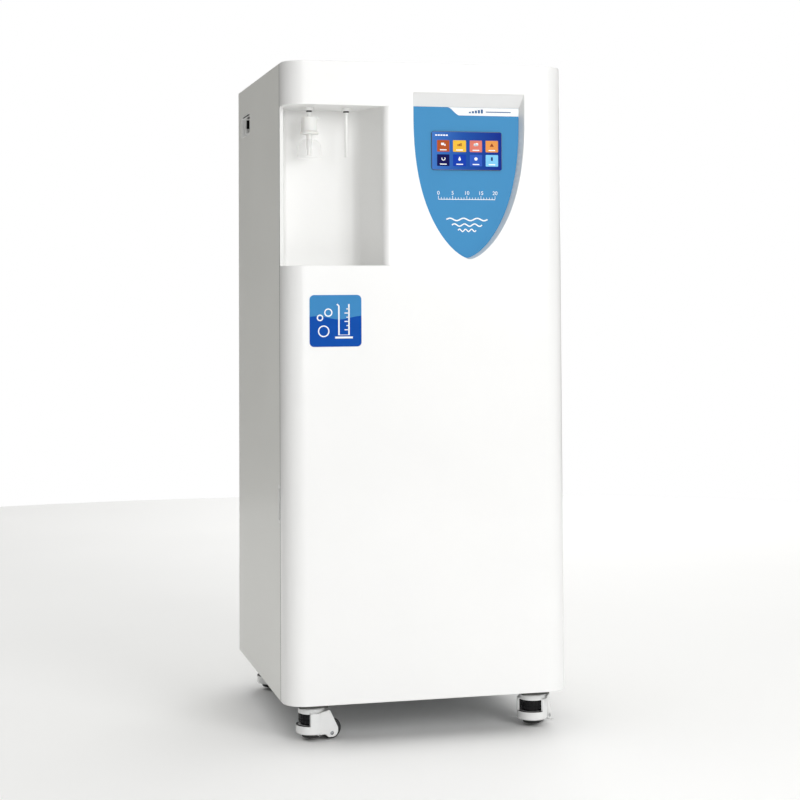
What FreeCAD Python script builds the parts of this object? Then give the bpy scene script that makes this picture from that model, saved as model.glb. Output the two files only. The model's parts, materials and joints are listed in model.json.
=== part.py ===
import FreeCAD, Part
import math
import os
import Sketcher
from types import SimpleNamespace

# Ultrapure water system: a floor-standing cabinet on four levelling casters.
# Millimetres. X runs to the right seen from the front, Y to the back, Z up.
# The origin is on the floor, under the middle of the cabinet.

# Driving dimensions, by the piece that carries them
SIZES = {
    # cabinet
    "cabinet_width": 460,
    "cabinet_depth": 470,
    "cabinet_height": 1000,
    "ground_clearance": 62,
    "sheet_thickness": 1.2,
    "corner_radius": 35,
    "seam_gap": 2.6,
    "touch_gap": 0.3,
    "overrun": 5,
    # front door moulding
    "door_wall": 3,
    "door_return": 12,
    # dispensing bay
    "bay_top_drop": 69,
    "bay_bottom_drop": 320.5,
    "bay_depth": 90,
    "bay_right_edge": 168,
    "bay_lip_radius": 10,
    "bay_left_inset": 6,
    "bay_left_taper": 8,
    "bay_left_fillet": 8,
    "bay_right_taper": 22,
    "bay_right_fillet": 16,
    # fascia recess and blue fascia
    "fascia_centre": 67.2,
    "fascia_half_width": 87.8,
    "fascia_drop": 67.5,
    "fascia_height": 240.6,
    "fascia_inset": 12,
    "fascia_thickness": 2,
    "fascia_square": 8,
    "recess_side_bevel": 4.2,
    "recess_shift": 1.6,
    "recess_top_bevel": 21,
    "recess_tip_bevel": 2.5,
    "recess_back_wall": 3,
    # touch display
    "display_width": 117,
    "display_height": 62,
    "display_drop": 106.5,
    "display_glass": 2,
    "display_border": 4,
    "display_module": 9,
    "display_corner": 4,
    # control board behind the fascia
    "board_width": 130,
    "board_height": 84,
    "board_thickness": 1.6,
    "board_standoff": 8,
    "standoff_radius": 3,
    "board_part": 14,
    # label plate
    "label_width": 82.5,
    "label_height": 80.5,
    "label_thickness": 0.6,
    "label_corner": 7,
    "label_left": 38.5,
    "label_drop": 366.5,
    # dispensing fittings
    "outlet_setback": 45,
    "product_outlet_left": 47.5,
    "rinse_outlet_left": 107.6,
    "outlet_flange_radius": 7,
    "outlet_flange_height": 5,
    "outlet_ring_radius": 4.4,
    "outlet_ring_height": 3,
    "outlet_stem_radius": 3.2,
    "outlet_stem_length": 7,
    "outlet_nut_radius": 9,
    "outlet_nut_height": 6,
    "filter_radius": 12.5,
    "filter_body_length": 22.5,
    "filter_flange_radius": 15,
    "filter_flange_height": 5.5,
    "filter_neck_radius": 4.6,
    "filter_neck_length": 7,
    "filter_nozzle_radius": 3.4,
    "filter_nozzle_length": 33,
    "filter_bore": 1.6,
    "vent_radius": 2.2,
    "vent_length": 6,
    "bell_radius": 20,
    "bell_height": 29,
    "bell_shoulder": 12,
    "bell_wall": 1.2,
    "bell_roof": 1.8,
    "bell_collar_radius": 6.2,
    "spout_radius": 2.6,
    "spout_bore": 1.6,
    "spout_length": 70,
    # hinges
    "hinge_pin_radius": 1.45,
    "hinge_bore_radius": 1.5,
    "hinge_knuckle_radius": 3,
    "hinge_knuckle": 20,
    "hinge_offset": 0.4,
    "hinge_leaf": 1.2,
    "hinge_leaf_depth": 20,
    "hinge_door_leaf_depth": 11,
    "hinge_door_leaf_inset": 6.5,
    "hinge_low": 150,
    "hinge_high": 850,
    "hinge_notch_gap": 0.6,
    # door catch
    "catch_height": 470,
    "catch_length": 44,
    "catch_width": 20,
    "catch_depth": 14,
    "strike_thickness": 2,
    # finger pull in the left panel
    "pull_height": 60,
    "pull_depth": 17,
    "pull_drop": 725,
    "pull_thickness": 6,
    "pull_corner": 6,
    "pull_scoop": 4,
    # handle cups
    "handle_length": 91,
    "handle_height": 38.5,
    "handle_back": 37,
    "handle_drop": 47,
    "handle_cup": 24,
    "handle_rim": 2,
    "handle_dish": 7,
    "handle_well_inset": 5,
    "handle_well_height": 28,
    "handle_wall": 2,
    "handle_corner": 8,
    # frame
    "post_width": 20,
    "post_setback": 100,
    "post_rear_gap": 3,
    "shelf_height": 438,
    "shelf_thickness": 2,
    "pan_thickness": 2,
    "pan_rim": 18,
    "pan_front_reach": 19,
    "pan_front_inset": 22,
    "panel_flange": 15,
    "cover_skirt": 12,
    # rear panels
    "rear_split": 164,
    "rear_step": 1.2,
    "well_width": 230,
    "well_height": 84,
    "well_bottom": 40,
    "well_depth": 28,
    "vent_slot_width": 90,
    "vent_slot_height": 4,
    "vent_slot_pitch": 12,
    "vent_slot_drop": 120,
    # rear connections
    "port_radius": 8,
    "port_bore": 3.3,
    "port_length": 20,
    "port_collar_radius": 12,
    "port_collar_length": 4,
    "port_pitch": 32,
    "port_first": 92,
    "inlet_width": 48,
    "inlet_height": 58,
    "inlet_face": 3,
    "inlet_body": 22,
    "inlet_offset": 78,
    "inlet_socket_width": 24,
    "inlet_socket_height": 16,
    "inlet_socket_depth": 16,
    "rocker_width": 20,
    "rocker_height": 13,
    "rocker_depth": 8,
    "rocker_crown": 2.4,
    "rocker_gap": 0.5,
    # inner equipment
    "bracket_height": 160,
    "bracket_bottom": 676,
    "prefilter_radius": 38,
    "prefilter_length": 240,
    "prefilter_head": 84,
    "prefilter_head_height": 40,
    "prefilter_first": 144,
    "prefilter_pitch": 96,
    "prefilter_wall": 3,
    "valve_size": 30,
    "valve_coil_radius": 13,
    "valve_coil": 26,
    "tank_radius": 105,
    "tank_height": 320,
    "tank_dome": 60,
    "tank_wall": 2,
    "tank_foot": 20,
    "membrane_radius": 28,
    "membrane_length": 330,
    "membrane_cap_radius": 33,
    "membrane_cap": 30,
    "membrane_pitch": 76,
    "membrane_wall": 3,
    "pump_radius": 46,
    "pump_head": 84,
    "pump_head_depth": 50,
    "pump_foot": 8,
    "pump_gap": 22,
    "pump_rear_gap": 55,
    "pump_motor_wall": 6,
    "column_radius": 33,
    "column_length": 330,
    "column_cap_radius": 37,
    "column_cap": 24,
    "column_pitch": 82,
    "uv_radius": 24,
    "uv_length": 300,
    "uv_cap_radius": 28,
    "uv_cap": 20,
    "uv_wall": 2,
    "uv_gap": 22,
    "supply_width": 100,
    "supply_depth": 120,
    "supply_height": 45,
    "supply_wall": 2,
    # screws
    "screw_radius": 3.5,
    "screw_head": 1.6,
    "screw_inset": 9,
    # casters
    "caster_side_inset": 48.5,
    "plate_size": 46,
    "plate_thickness": 3,
    "riser_size": 26,
    "riser_height": 6,
    "slot_radius": 2.2,
    "slot_length": 6,
    "slot_pitch": 34,
    "race_radius": 16,
    "race_gap": 0.3,
    "housing_top": 51.8,
    "housing_bottom": 11.3,
    "nose_radius": 24.5,
    "nose_edge": 4,
    "cap_radius": 20.8,
    "cap_edge": 2.5,
    "sleeve_radius": 9,
    "sleeve_bore": 6,
    "sleeve_end": 44,
    "running_gap": 0.1,
    "cheek_half_width": 23.5,
    "cheek_front_top": 44.6,
    "cheek_top": 48.4,
    "cheek_shoulder": 21,
    "cheek_shoulder_radius": 3,
    "cheek_reach": 35.4,
    "cheek_heel_height": 20,
    "cheek_heel_radius": 12,
    "cheek_bottom": 6,
    "cheek_bottom_radius": 9,
    "cheek_lobe": 19,
    "cheek_throat": 14,
    "wheel_radius": 16,
    "wheel_offset": 31,
    "wheel_half_width": 11,
    "wheel_edge_radius": 2,
    "wheel_bore": 3.05,
    "axle_radius": 3,
    "wheel_well_gap": 1.5,
    "wheel_side_gap": 1,
    "window_bottom": 24.9,
    "window_top": 42.9,
    "window_depth": 13,
    "adjuster_radius": 20.4,
    "adjuster_step_radius": 16.8,
    "adjuster_step_height": 3.8,
    "adjuster_waist_height": 9.2,
    "adjuster_waist_width": 1.6,
    "adjuster_waist_depth": 1.4,
    "adjuster_cavity": 21.2,
    "adjuster_groove_width": 1.2,
    "adjuster_grooves": 24,
    "foot_radius": 15.2,
    "foot_rise": 5,
    "foot_thickness": 5,
    "foot_edge_radius": 2.5,
    "stem_radius": 5,
    "stem_top": 48,
    # turns of the four casters about their swivel axes, in degrees
    "turn_front_left": 15,
    "turn_front_right": 58,
    "turn_rear_left": 30,
    "turn_rear_right": 50,
    "rocker_tilt": 10,
}

# Shapes given as shares of the sizes they follow
SHIELD_CURVE_SHARES = {"width_power": 1.3, "height_power": 0.8}
TANK_SHARES = {"dome_flat": 0.6, "dome_round": 0.6, "foot_inner": 0.5, "foot_outer": 0.55}
REAR_SCREW_SHARES = (0.06, 0.5, 0.94)
SHIELD_CURVE_STEPS = 9

Z_AXIS = FreeCAD.Vector(0, 0, 1)
X_AXIS = FreeCAD.Vector(1, 0, 0)
Y_AXIS = FreeCAD.Vector(0, 1, 0)


class Length:
    """A number with the sheet formula that gives it, so both stay the same."""

    def __init__(self, value, formula):
        self.value = value
        self.formula = formula

    def join(self, sign, other, value, swapped=False):
        first, second = self.formula, as_length(other).formula
        if swapped:
            first, second = second, first
        return Length(value, f"({first} {sign} {second})")

    def __add__(self, other):
        return self.join("+", other, self.value + number(other))

    def __radd__(self, other):
        return self.join("+", other, number(other) + self.value, swapped=True)

    def __sub__(self, other):
        return self.join("-", other, self.value - number(other))

    def __rsub__(self, other):
        return self.join("-", other, number(other) - self.value, swapped=True)

    def __mul__(self, other):
        return self.join("*", other, self.value * number(other))

    def __rmul__(self, other):
        return self.join("*", other, number(other) * self.value, swapped=True)

    def __truediv__(self, other):
        return self.join("/", other, self.value / number(other))

    def __neg__(self):
        return Length(-self.value, f"(0 - {self.formula})")


def as_length(value):
    return value if isinstance(value, Length) else Length(value, repr(value))


def number(value):
    return value.value if isinstance(value, Length) else value


def bind(thing, place, length):
    """Ties one property to the sheet."""
    thing.setExpression(place, as_length(length).formula)


doc = FreeCAD.newDocument("water_system")
sheet = doc.addObject("Spreadsheet::Sheet", "sizes")
for row, (alias, size) in enumerate(SIZES.items(), 1):
    sheet.set(f"A{row}", alias.replace("_", " "))
    sheet.set(f"B{row}", str(size))
    sheet.setAlias(f"B{row}", alias)
doc.recompute()
d = SimpleNamespace(**{alias: Length(size, f"sizes.{alias}") for alias, size in SIZES.items()})

# Planes that many pieces share
left = -d.cabinet_width / 2
right = d.cabinet_width / 2
front = -d.cabinet_depth / 2
back = d.cabinet_depth / 2
base = d.ground_clearance
top = d.ground_clearance + d.cabinet_height
door_edge = front + d.corner_radius + d.door_return
panel_front = door_edge + d.seam_gap
panel_back = back - d.sheet_thickness
cover_under = top - d.sheet_thickness
floor_of_cabinet = base + d.pan_thickness

nodes = []


def node(thing, label):
    """Names a finished sub-part."""
    thing.Label = label
    nodes.append(thing)
    return thing


def place(thing, x=0, y=0, z=0, turn=0, about=Z_AXIS):
    """Gives a placement whose offsets and angle follow the sheet."""
    thing.Placement = FreeCAD.Placement(FreeCAD.Vector(), FreeCAD.Rotation(about, number(turn)))
    for letter, offset in (("x", x), ("y", y), ("z", z)):
        bind(thing, f".Placement.Base.{letter}", offset)
    if isinstance(turn, Length):
        bind(thing, ".Placement.Rotation.Angle", turn)
    return thing


def box(x0, x1, y0, y1, z0, z1):
    """A box between six planes."""
    solid = doc.addObject("Part::Box", "box")
    bind(solid, "Length", x1 - x0)
    bind(solid, "Width", y1 - y0)
    bind(solid, "Height", z1 - z0)
    return place(solid, x0, y0, z0)


def rod(radius, x, y, z, length, along="Z"):
    """A cylinder that starts at a point and runs along an axis."""
    solid = doc.addObject("Part::Cylinder", "rod")
    bind(solid, "Radius", radius)
    bind(solid, "Height", length)
    turns = {"Z": (0, Z_AXIS), "X": (90, Y_AXIS), "Y": (-90, X_AXIS)}
    angle, about = turns[along]
    return place(solid, x, y, z, angle, about)


def fuse(*shapes):
    whole = doc.addObject("Part::MultiFuse", "joined")
    whole.Shapes = list(shapes)
    return whole


def cut(base_shape, *tools):
    whole = doc.addObject("Part::Cut", "cut")
    whole.Base = base_shape
    whole.Tool = tools[0] if len(tools) == 1 else fuse(*tools)
    return whole


def group(*shapes):
    """Separate solids under one name."""
    whole = doc.addObject("Part::Compound", "group")
    whole.Links = list(shapes)
    return whole


def new_body(name):
    return doc.addObject("PartDesign::Body", name)


# Where a sketch on each plane looks: the body's own plane, and the sign of its normal
PLANES = {"XY": ("XY_Plane", 1), "XZ": ("XZ_Plane", -1), "YZ": ("YZ_Plane", 1)}


# Two sketch points nearer than this are one point
TINY = 1e-6


def unit(x, y):
    size = math.hypot(x, y)
    return x / size, y / size


def corner_arc(before, at, after, radius):
    """Start, middle and end of the round that replaces one corner."""
    ax, ay = unit(before[0] - at[0], before[1] - at[1])
    bx, by = unit(after[0] - at[0], after[1] - at[1])
    half = math.acos(max(-1.0, min(1.0, ax * bx + ay * by))) / 2
    reach = radius / math.tan(half)
    mx, my = unit(ax + bx, ay + by)
    far = radius / math.sin(half)
    start = (at[0] + ax * reach, at[1] + ay * reach)
    end = (at[0] + bx * reach, at[1] + by * reach)
    middle = (at[0] + mx * (far - radius), at[1] + my * (far - radius))
    return start, middle, end


def sketch(body, plane, points, offset=0):
    """A closed outline of points (x, y) or (x, y, corner radius), all tied to the sheet."""
    role, sign = PLANES[plane]
    drawing = body.newObject("Sketcher::SketchObject", "outline")
    own = next(item for item in body.Origin.OriginFeatures if item.Role == role)
    drawing.AttachmentSupport = [(own, "")]
    drawing.MapMode = "FlatFace"
    bind(drawing, ".AttachmentOffset.Base.z", offset * sign)
    places = [(number(point[0]), number(point[1])) for point in points]
    count = len(points)

    def vector(pair):
        return FreeCAD.Vector(pair[0], pair[1], 0)

    def tie(kind, *what):
        return drawing.addConstraint(Sketcher.Constraint(kind, *what))

    def tie_size(kind, value, *what):
        drawing.setExpression(f"Constraints[{tie(kind, *what, number(value))}]", as_length(value).formula)

    rounds, bends, lines = {}, {}, []
    for at, point in enumerate(points):
        if len(point) == 3:
            rounds[at] = corner_arc(places[at - 1], places[at], places[(at + 1) % count], number(point[2]))
            start, middle, end = (vector(pair) for pair in rounds[at])
            bend = drawing.addGeometry(Part.Arc(start, middle, end), False)
            forward = drawing.getPoint(bend, 1).isEqual(start, TINY)
            bends[at] = ((bend, 1), (bend, 2)) if forward else ((bend, 2), (bend, 1))
    for at in range(count):
        after = (at + 1) % count
        start = vector(rounds[at][2] if at in rounds else places[at])
        end = vector(rounds[after][0] if after in rounds else places[after])
        side = None
        if not start.isEqual(end, TINY):
            side = drawing.addGeometry(Part.LineSegment(start, end), False)
        lines.append(side)
    for at, point in enumerate(points):
        after = (at + 1) % count
        before, here = lines[at - 1], lines[at]
        leaves = bends[at][1] if at in bends else None
        arrives = bends[after][0] if after in bends else None
        if here is None and leaves and arrives:
            tie("Tangent", *leaves, *arrives)
        if here is not None and leaves:
            tie("Tangent", *leaves, here, 1)
        if here is not None and arrives:
            tie("Tangent", here, 2, *arrives)
        if at in bends:
            tie_size("Radius", point[2], bends[at][0][0])
            mark = drawing.addGeometry(Part.Point(vector(places[at])), True)
            for side in (before, here):
                if side is not None:
                    tie("PointOnObject", mark, 1, side)
            held = (mark, 1)
        else:
            comes_in = (before, 2) if before is not None else bends[(at - 1) % count][1]
            held = (here, 1) if here is not None else bends[after][0]
            tie("Coincident", *comes_in, *held)
        tie_size("DistanceX", point[0], -1, 1, *held)
        tie_size("DistanceY", point[1], -1, 1, *held)
    return drawing


def pad(body, plane, points, low, high):
    """Adds a prism between two planes along the outline's normal."""
    normal = PLANES[plane][1]
    drawing = sketch(body, plane, points, low if normal > 0 else high)
    feature = body.newObject("PartDesign::Pad", "pad")
    feature.Profile = drawing
    bind(feature, "Length", high - low)
    return feature


def pocket(body, plane, points, low, high):
    """Cuts a prism between two planes; a pocket runs against the outline's normal."""
    normal = PLANES[plane][1]
    drawing = sketch(body, plane, points, high if normal > 0 else low)
    feature = body.newObject("PartDesign::Pocket", "pocket")
    feature.Profile = drawing
    bind(feature, "Length", high - low)
    return feature


def revolve(body, points):
    """Turns an outline (radius, height) about the Z axis."""
    drawing = sketch(body, "XZ", points)
    feature = body.newObject("PartDesign::Revolution", "turned")
    feature.Profile = drawing
    feature.ReferenceAxis = (drawing, ["V_Axis"])
    feature.Angle = 360
    return feature


def rectangle(x0, x1, y0, y1, *corner):
    return [(x0, y0, *corner), (x1, y0, *corner), (x1, y1, *corner), (x0, y1, *corner)]


def prism(plane, points, low, high):
    body = new_body("prism")
    pad(body, plane, points, low, high)
    return body


def turned(points, x=0, y=0, z=0):
    body = new_body("turned")
    revolve(body, points)
    return place(body, x, y, z)


# Front door: a moulded shell whose sides wrap back to the seam
hinge_x = right + d.hinge_offset
hinge_y = door_edge + d.seam_gap / 2
hinge_heights = (base + d.hinge_low, base + d.hinge_high)
hinge_length = d.hinge_knuckle * 3
bay_top = top - d.bay_top_drop
bay_bottom = top - d.bay_bottom_drop
bay_back = front + d.bay_depth
bay_right = left + d.bay_right_edge
bay_right_wall = bay_right - d.bay_lip_radius
lip_end = front + d.bay_lip_radius + d.door_wall
fascia_top = top - d.fascia_drop
outlet_y = front + d.outlet_setback
product_x = left + d.product_outlet_left
rinse_x = left + d.rinse_outlet_left
fascia_face = front + d.fascia_inset


def shield_curve(centre, half_width, shoulder, tip, y):
    """The side, tip and side of a shield: a superellipse below the shoulder."""
    points = []
    for step in range(-SHIELD_CURVE_STEPS, SHIELD_CURVE_STEPS + 1):
        angle = math.pi / 2 * (1 - abs(step) / SHIELD_CURVE_STEPS)
        share_across = math.cos(angle) ** SHIELD_CURVE_SHARES["width_power"]
        share_down = math.sin(angle) ** SHIELD_CURVE_SHARES["height_power"]
        across = math.copysign(half_width * share_across, step)
        points.append(FreeCAD.Vector(centre + across, y, shoulder + (tip - shoulder) * share_down))
    curve = Part.BSplineCurve()
    curve.interpolate(points)
    return curve.toShape(), points[0], points[-1]


def shield_wire(centre, half_width, head, shoulder, tip, y):
    """A closed shield: straight head and sides down to the shoulder, then the curve."""
    sizes = (centre, half_width, head, shoulder, tip, y)
    centre, half_width, head, shoulder, tip, y = (number(size) for size in sizes)
    curve, start, end = shield_curve(centre, half_width, shoulder, tip, y)
    corners = [end, FreeCAD.Vector(end.x, y, head), FreeCAD.Vector(start.x, y, head), start]
    edges = [Part.makeLine(corners[at], corners[at + 1]) for at in range(len(corners) - 1)]
    return Part.Wire([curve, *edges])


def shield_plate(wire, thickness):
    return Part.Face(wire).extrude(FreeCAD.Vector(0, number(thickness), 0))


def feature_of(shape):
    thing = doc.addObject("Part::Feature", "shape")
    thing.Shape = shape
    thing.Placement = FreeCAD.Placement()
    return thing


fascia_tip = fascia_top - d.fascia_height
recess_centre = d.fascia_centre + d.recess_shift
recess_half_width = d.fascia_half_width + d.recess_side_bevel
recess_top = fascia_top + d.recess_top_bevel
curve_top = fascia_top - d.fascia_square
recess_tip = fascia_tip - d.recess_tip_bevel


def recess_outline(y):
    return shield_wire(recess_centre, recess_half_width, recess_top, curve_top, recess_tip, y)


def fascia_outline(y):
    return shield_wire(d.fascia_centre, d.fascia_half_width, fascia_top, curve_top, fascia_tip, y)


def door_plan(wall=0):
    """The door's outline from above, or its hollow when a wall is given."""
    radius = d.corner_radius - wall
    return [
        (left + wall, door_edge),
        (left + wall, front + wall, radius),
        (right - wall, front + wall, radius),
        (right - wall, door_edge),
    ]


def make_front_door():
    body = new_body("door_shell")
    pad(body, "XY", door_plan(), base, top)
    pocket(body, "XY", door_plan(d.door_wall), base, top - d.door_wall)
    bay_cut = rectangle(left - d.overrun, bay_right, front - d.overrun, door_edge + d.overrun)
    pocket(body, "XY", bay_cut, bay_bottom, bay_top)
    lip = [
        (bay_right + d.door_wall, front),
        (bay_right_wall, front, d.bay_lip_radius),
        (bay_right_wall, lip_end),
        (bay_right_wall + d.door_wall, lip_end),
        (bay_right_wall + d.door_wall, front + d.door_wall, d.bay_lip_radius - d.door_wall),
        (bay_right + d.door_wall, front + d.door_wall),
    ]
    lip_body = prism("XY", lip, bay_bottom, bay_top)
    recess_hole = feature_of(shield_plate(recess_outline(front - d.overrun), d.door_wall + d.overrun * 2))
    notches = []
    for height in hinge_heights:
        reach = d.hinge_knuckle_radius + d.hinge_notch_gap
        notches.append(box(
            right - d.door_wall - d.hinge_knuckle_radius, right + d.overrun,
            hinge_y - reach, door_edge + d.overrun,
            height - d.hinge_notch_gap, height + hinge_length + d.hinge_notch_gap))
    return node(cut(fuse(body, lip_body), recess_hole, *notches), "front_door")


def bay_plan(wall=0):
    """The bay's inner outline from above, or its outer skin when a wall is given."""
    left_front = left + d.bay_left_inset
    return [
        (left_front - wall, door_edge),
        (left_front + d.bay_left_taper - wall, bay_back + wall, d.bay_left_fillet + wall),
        (bay_right_wall - d.bay_right_taper + wall, bay_back + wall, d.bay_right_fillet + wall),
        (bay_right_wall + wall, lip_end),
    ]


def make_niche_liner():
    wall = d.door_wall
    lining = new_body("bay_lining")
    pad(lining, "XY", bay_plan(wall), bay_bottom - wall, bay_top + wall)
    mouth = [(bay_right_wall, front - d.overrun), (left + d.bay_left_inset, front - d.overrun)]
    pocket(lining, "XY", bay_plan() + mouth, bay_bottom, bay_top)
    sill = [
        (left + wall, door_edge),
        (left + wall, front + wall, d.corner_radius - wall),
        (bay_right_wall + wall, front + wall),
        (bay_right_wall + wall, door_edge),
    ]
    floor = prism("XY", sill, bay_bottom - wall, bay_bottom)
    roof = prism("XY", sill, bay_top, bay_top + wall)
    edge = box(left, left + d.bay_left_inset, door_edge - wall, door_edge, bay_bottom, bay_top)
    holes = [
        rod(d.outlet_stem_radius, x, outlet_y, bay_top - d.overrun, wall + d.overrun * 2)
        for x in (product_x, rinse_x)
    ]
    return node(cut(fuse(lining, floor, roof, edge), *holes), "niche_liner")


def make_fascia():
    bezel_depth = d.fascia_inset + d.fascia_thickness + d.recess_back_wall
    block = shield_plate(recess_outline(front), bezel_depth)
    funnel = Part.makeLoft([recess_outline(front), fascia_outline(fascia_face)], True, True)
    seat = shield_plate(fascia_outline(fascia_face), d.fascia_thickness)
    half_window = d.display_width / 2 - d.display_border + d.touch_gap
    border = d.display_border - d.touch_gap

    def window():
        return box(
            d.fascia_centre - half_window, d.fascia_centre + half_window,
            fascia_face - d.overrun, front + bezel_depth + d.overrun,
            display_bottom + border, display_top - border)

    node(cut(feature_of(block.cut(funnel).cut(seat)), window()), "fascia_bezel")
    plate = feature_of(shield_plate(fascia_outline(fascia_face), d.fascia_thickness))
    node(cut(plate, window()), "control_fascia")


display_top = top - d.display_drop
display_bottom = display_top - d.display_height


def make_touch_display():
    x = d.fascia_centre
    glass = prism(
        "XZ",
        rectangle(x - d.display_width / 2, x + d.display_width / 2, display_bottom, display_top, d.display_corner),
        fascia_face - d.display_glass, fascia_face)
    module = box(
        x - d.display_width / 2 + d.display_border, x + d.display_width / 2 - d.display_border,
        fascia_face, fascia_face + d.display_module,
        display_bottom + d.display_border, display_top - d.display_border)
    return node(fuse(glass, module), "touch_display")


def make_control_board():
    x = d.fascia_centre
    middle = (display_top + display_bottom) / 2
    bezel_back = fascia_face + d.fascia_thickness + d.recess_back_wall
    board_face = bezel_back + d.board_standoff
    half_width = d.board_width / 2
    half_height = d.board_height / 2
    board = box(
        x - half_width, x + half_width, board_face, board_face + d.board_thickness,
        middle - half_height, middle + half_height)
    pieces = [board]
    for side in (-1, 1):
        for level in (-1, 1):
            pieces.append(rod(
                d.standoff_radius,
                x + (half_width - d.standoff_radius * 2) * side, bezel_back,
                middle + (half_height - d.standoff_radius * 2) * level,
                d.board_standoff, "Y"))
    for column in (-1, 0, 1):
        spot = x + d.board_part * 2 * column
        pieces.append(box(
            spot, spot + d.board_part, board_face + d.board_thickness,
            board_face + d.board_thickness + d.board_part / 2, middle, middle + d.board_part))
    return node(fuse(*pieces), "control_board")


def make_label_plate():
    x0 = left + d.label_left
    z1 = top - d.label_drop
    outline = rectangle(x0, x0 + d.label_width, z1 - d.label_height, z1, d.label_corner)
    return node(prism("XZ", outline, front - d.label_thickness, front), "label_plate")


# Dispensing fittings under the bay's roof
def outlet_fitting(x, stem, label):
    """Flange and nut clamp the bay's roof; a dark ring and any stem hang below."""
    flange_bottom = bay_top - d.outlet_flange_height
    ring_bottom = flange_bottom - d.outlet_ring_height
    roof_over = bay_top + d.door_wall
    nut_top = roof_over + d.outlet_nut_height
    outline = [
        (d.outlet_ring_radius, ring_bottom),
        (d.outlet_ring_radius, flange_bottom),
        (d.outlet_flange_radius, flange_bottom),
        (d.outlet_flange_radius, bay_top),
        (d.outlet_stem_radius, bay_top),
        (d.outlet_stem_radius, roof_over),
        (d.outlet_nut_radius, roof_over),
        (d.outlet_nut_radius, nut_top),
        (d.spout_bore, nut_top),
    ]
    end = ring_bottom
    if stem:
        end = ring_bottom - stem
        outline = [(d.outlet_stem_radius, end), (d.outlet_stem_radius, ring_bottom), *outline]
    return node(turned([(d.spout_bore, end), *outline], x, outlet_y), label)


filter_top = bay_top - d.outlet_flange_height - d.outlet_ring_height - d.outlet_stem_length
filter_flange_top = filter_top - d.filter_body_length
filter_flange_bottom = filter_flange_top - d.filter_flange_height
bell_top = filter_flange_bottom - d.filter_neck_length


def make_final_filter():
    nozzle_end = filter_flange_bottom - d.filter_nozzle_length
    body = turned([
        (0, nozzle_end),
        (d.filter_nozzle_radius, nozzle_end),
        (d.filter_nozzle_radius, bell_top - d.bell_wall),
        (d.filter_neck_radius, bell_top - d.bell_wall),
        (d.filter_neck_radius, filter_flange_bottom),
        (d.filter_flange_radius, filter_flange_bottom),
        (d.filter_flange_radius, filter_flange_top),
        (d.filter_radius, filter_flange_top),
        (d.filter_radius, filter_top),
        (0, filter_top),
    ], product_x, outlet_y)
    bore = rod(
        d.filter_bore, product_x, outlet_y, nozzle_end - d.overrun,
        filter_top - nozzle_end + d.overrun * 2)
    vent = rod(
        d.vent_radius, product_x + d.filter_radius - d.vent_radius, outlet_y,
        filter_top - d.vent_radius * 2, d.vent_length, "X")
    return node(fuse(cut(body, bore), vent), "final_filter")


def make_filter_bell():
    """A clear open skirt round the nozzle, hung on the filter's neck."""
    rim = bell_top - d.bell_height
    wall = d.bell_wall
    roof_under = bell_top - d.bell_roof
    inner = d.filter_neck_radius + d.running_gap
    body = turned([
        (inner, bell_top),
        (d.bell_collar_radius, bell_top),
        (d.bell_radius, bell_top - d.bell_shoulder),
        (d.bell_radius, rim),
        (d.bell_radius - wall, rim),
        (d.bell_radius - wall, bell_top - d.bell_shoulder - wall / 2),
        (d.bell_collar_radius, roof_under),
        (inner, roof_under),
    ], product_x, outlet_y)
    return node(body, "filter_bell")


def make_outlet_spout():
    spout_top = bay_top - d.outlet_flange_height - d.outlet_ring_height
    spout_end = spout_top - d.spout_length
    tube = rod(d.spout_radius, rinse_x, outlet_y, spout_end, d.spout_length)
    bore = rod(d.spout_bore, rinse_x, outlet_y, spout_end - d.overrun, d.spout_length + d.overrun * 2)
    return node(cut(tube, bore), "outlet_spout")


# Hinges on the right seam: outer knuckles on the cabinet, the middle one on the door
def make_hinges():
    frame_parts, door_parts, pins = [], [], []
    for height in hinge_heights:
        for knuckle in range(3):
            z = height + d.hinge_knuckle * knuckle
            gap = d.running_gap
            tube = rod(d.hinge_knuckle_radius, hinge_x, hinge_y, z + gap, d.hinge_knuckle - gap * 2)
            if knuckle == 1:
                bridge = box(
                    right - d.hinge_door_leaf_inset - d.hinge_leaf, right - d.hinge_bore_radius,
                    door_edge - d.hinge_leaf - gap, door_edge - gap,
                    z + gap, z + d.hinge_knuckle - gap)
                leaf = box(
                    right - d.hinge_door_leaf_inset - d.hinge_leaf, right - d.hinge_door_leaf_inset,
                    door_edge - d.hinge_door_leaf_depth, door_edge - gap,
                    z + gap, z + d.hinge_knuckle - gap)
                solid = fuse(tube, bridge, leaf)
                bucket = door_parts
            else:
                leaf = box(
                    right - d.sheet_thickness - d.hinge_leaf, right - d.sheet_thickness,
                    panel_front - d.seam_gap / 4, panel_front + d.hinge_leaf_depth,
                    z + gap, z + d.hinge_knuckle - gap)
                solid = fuse(tube, leaf)
                bucket = frame_parts
            hole = rod(d.hinge_bore_radius, hinge_x, hinge_y, z - d.overrun, d.hinge_knuckle + d.overrun * 2)
            bucket.append(cut(solid, hole))
        pins.append(rod(d.hinge_pin_radius, hinge_x, hinge_y, height, hinge_length))
    node(group(*frame_parts), "frame_hinges")
    node(group(*door_parts), "door_hinges")
    node(group(*pins), "hinge_pins")


def make_catch():
    z0 = base + d.catch_height
    z1 = z0 + d.catch_length
    inner = left + d.sheet_thickness
    face = door_edge - d.touch_gap
    holder = box(inner, inner + d.catch_width, panel_front, face + d.catch_depth, z0, z1)
    magnet = box(left + d.door_wall + d.touch_gap, inner + d.catch_width, face, panel_front, z0, z1)
    node(fuse(holder, magnet), "magnet_catch")
    strike = box(
        left + d.door_wall + d.touch_gap / 2, inner + d.catch_width,
        face - d.touch_gap - d.strike_thickness, face - d.touch_gap, z0, z1)
    node(strike, "strike_plate")


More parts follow.
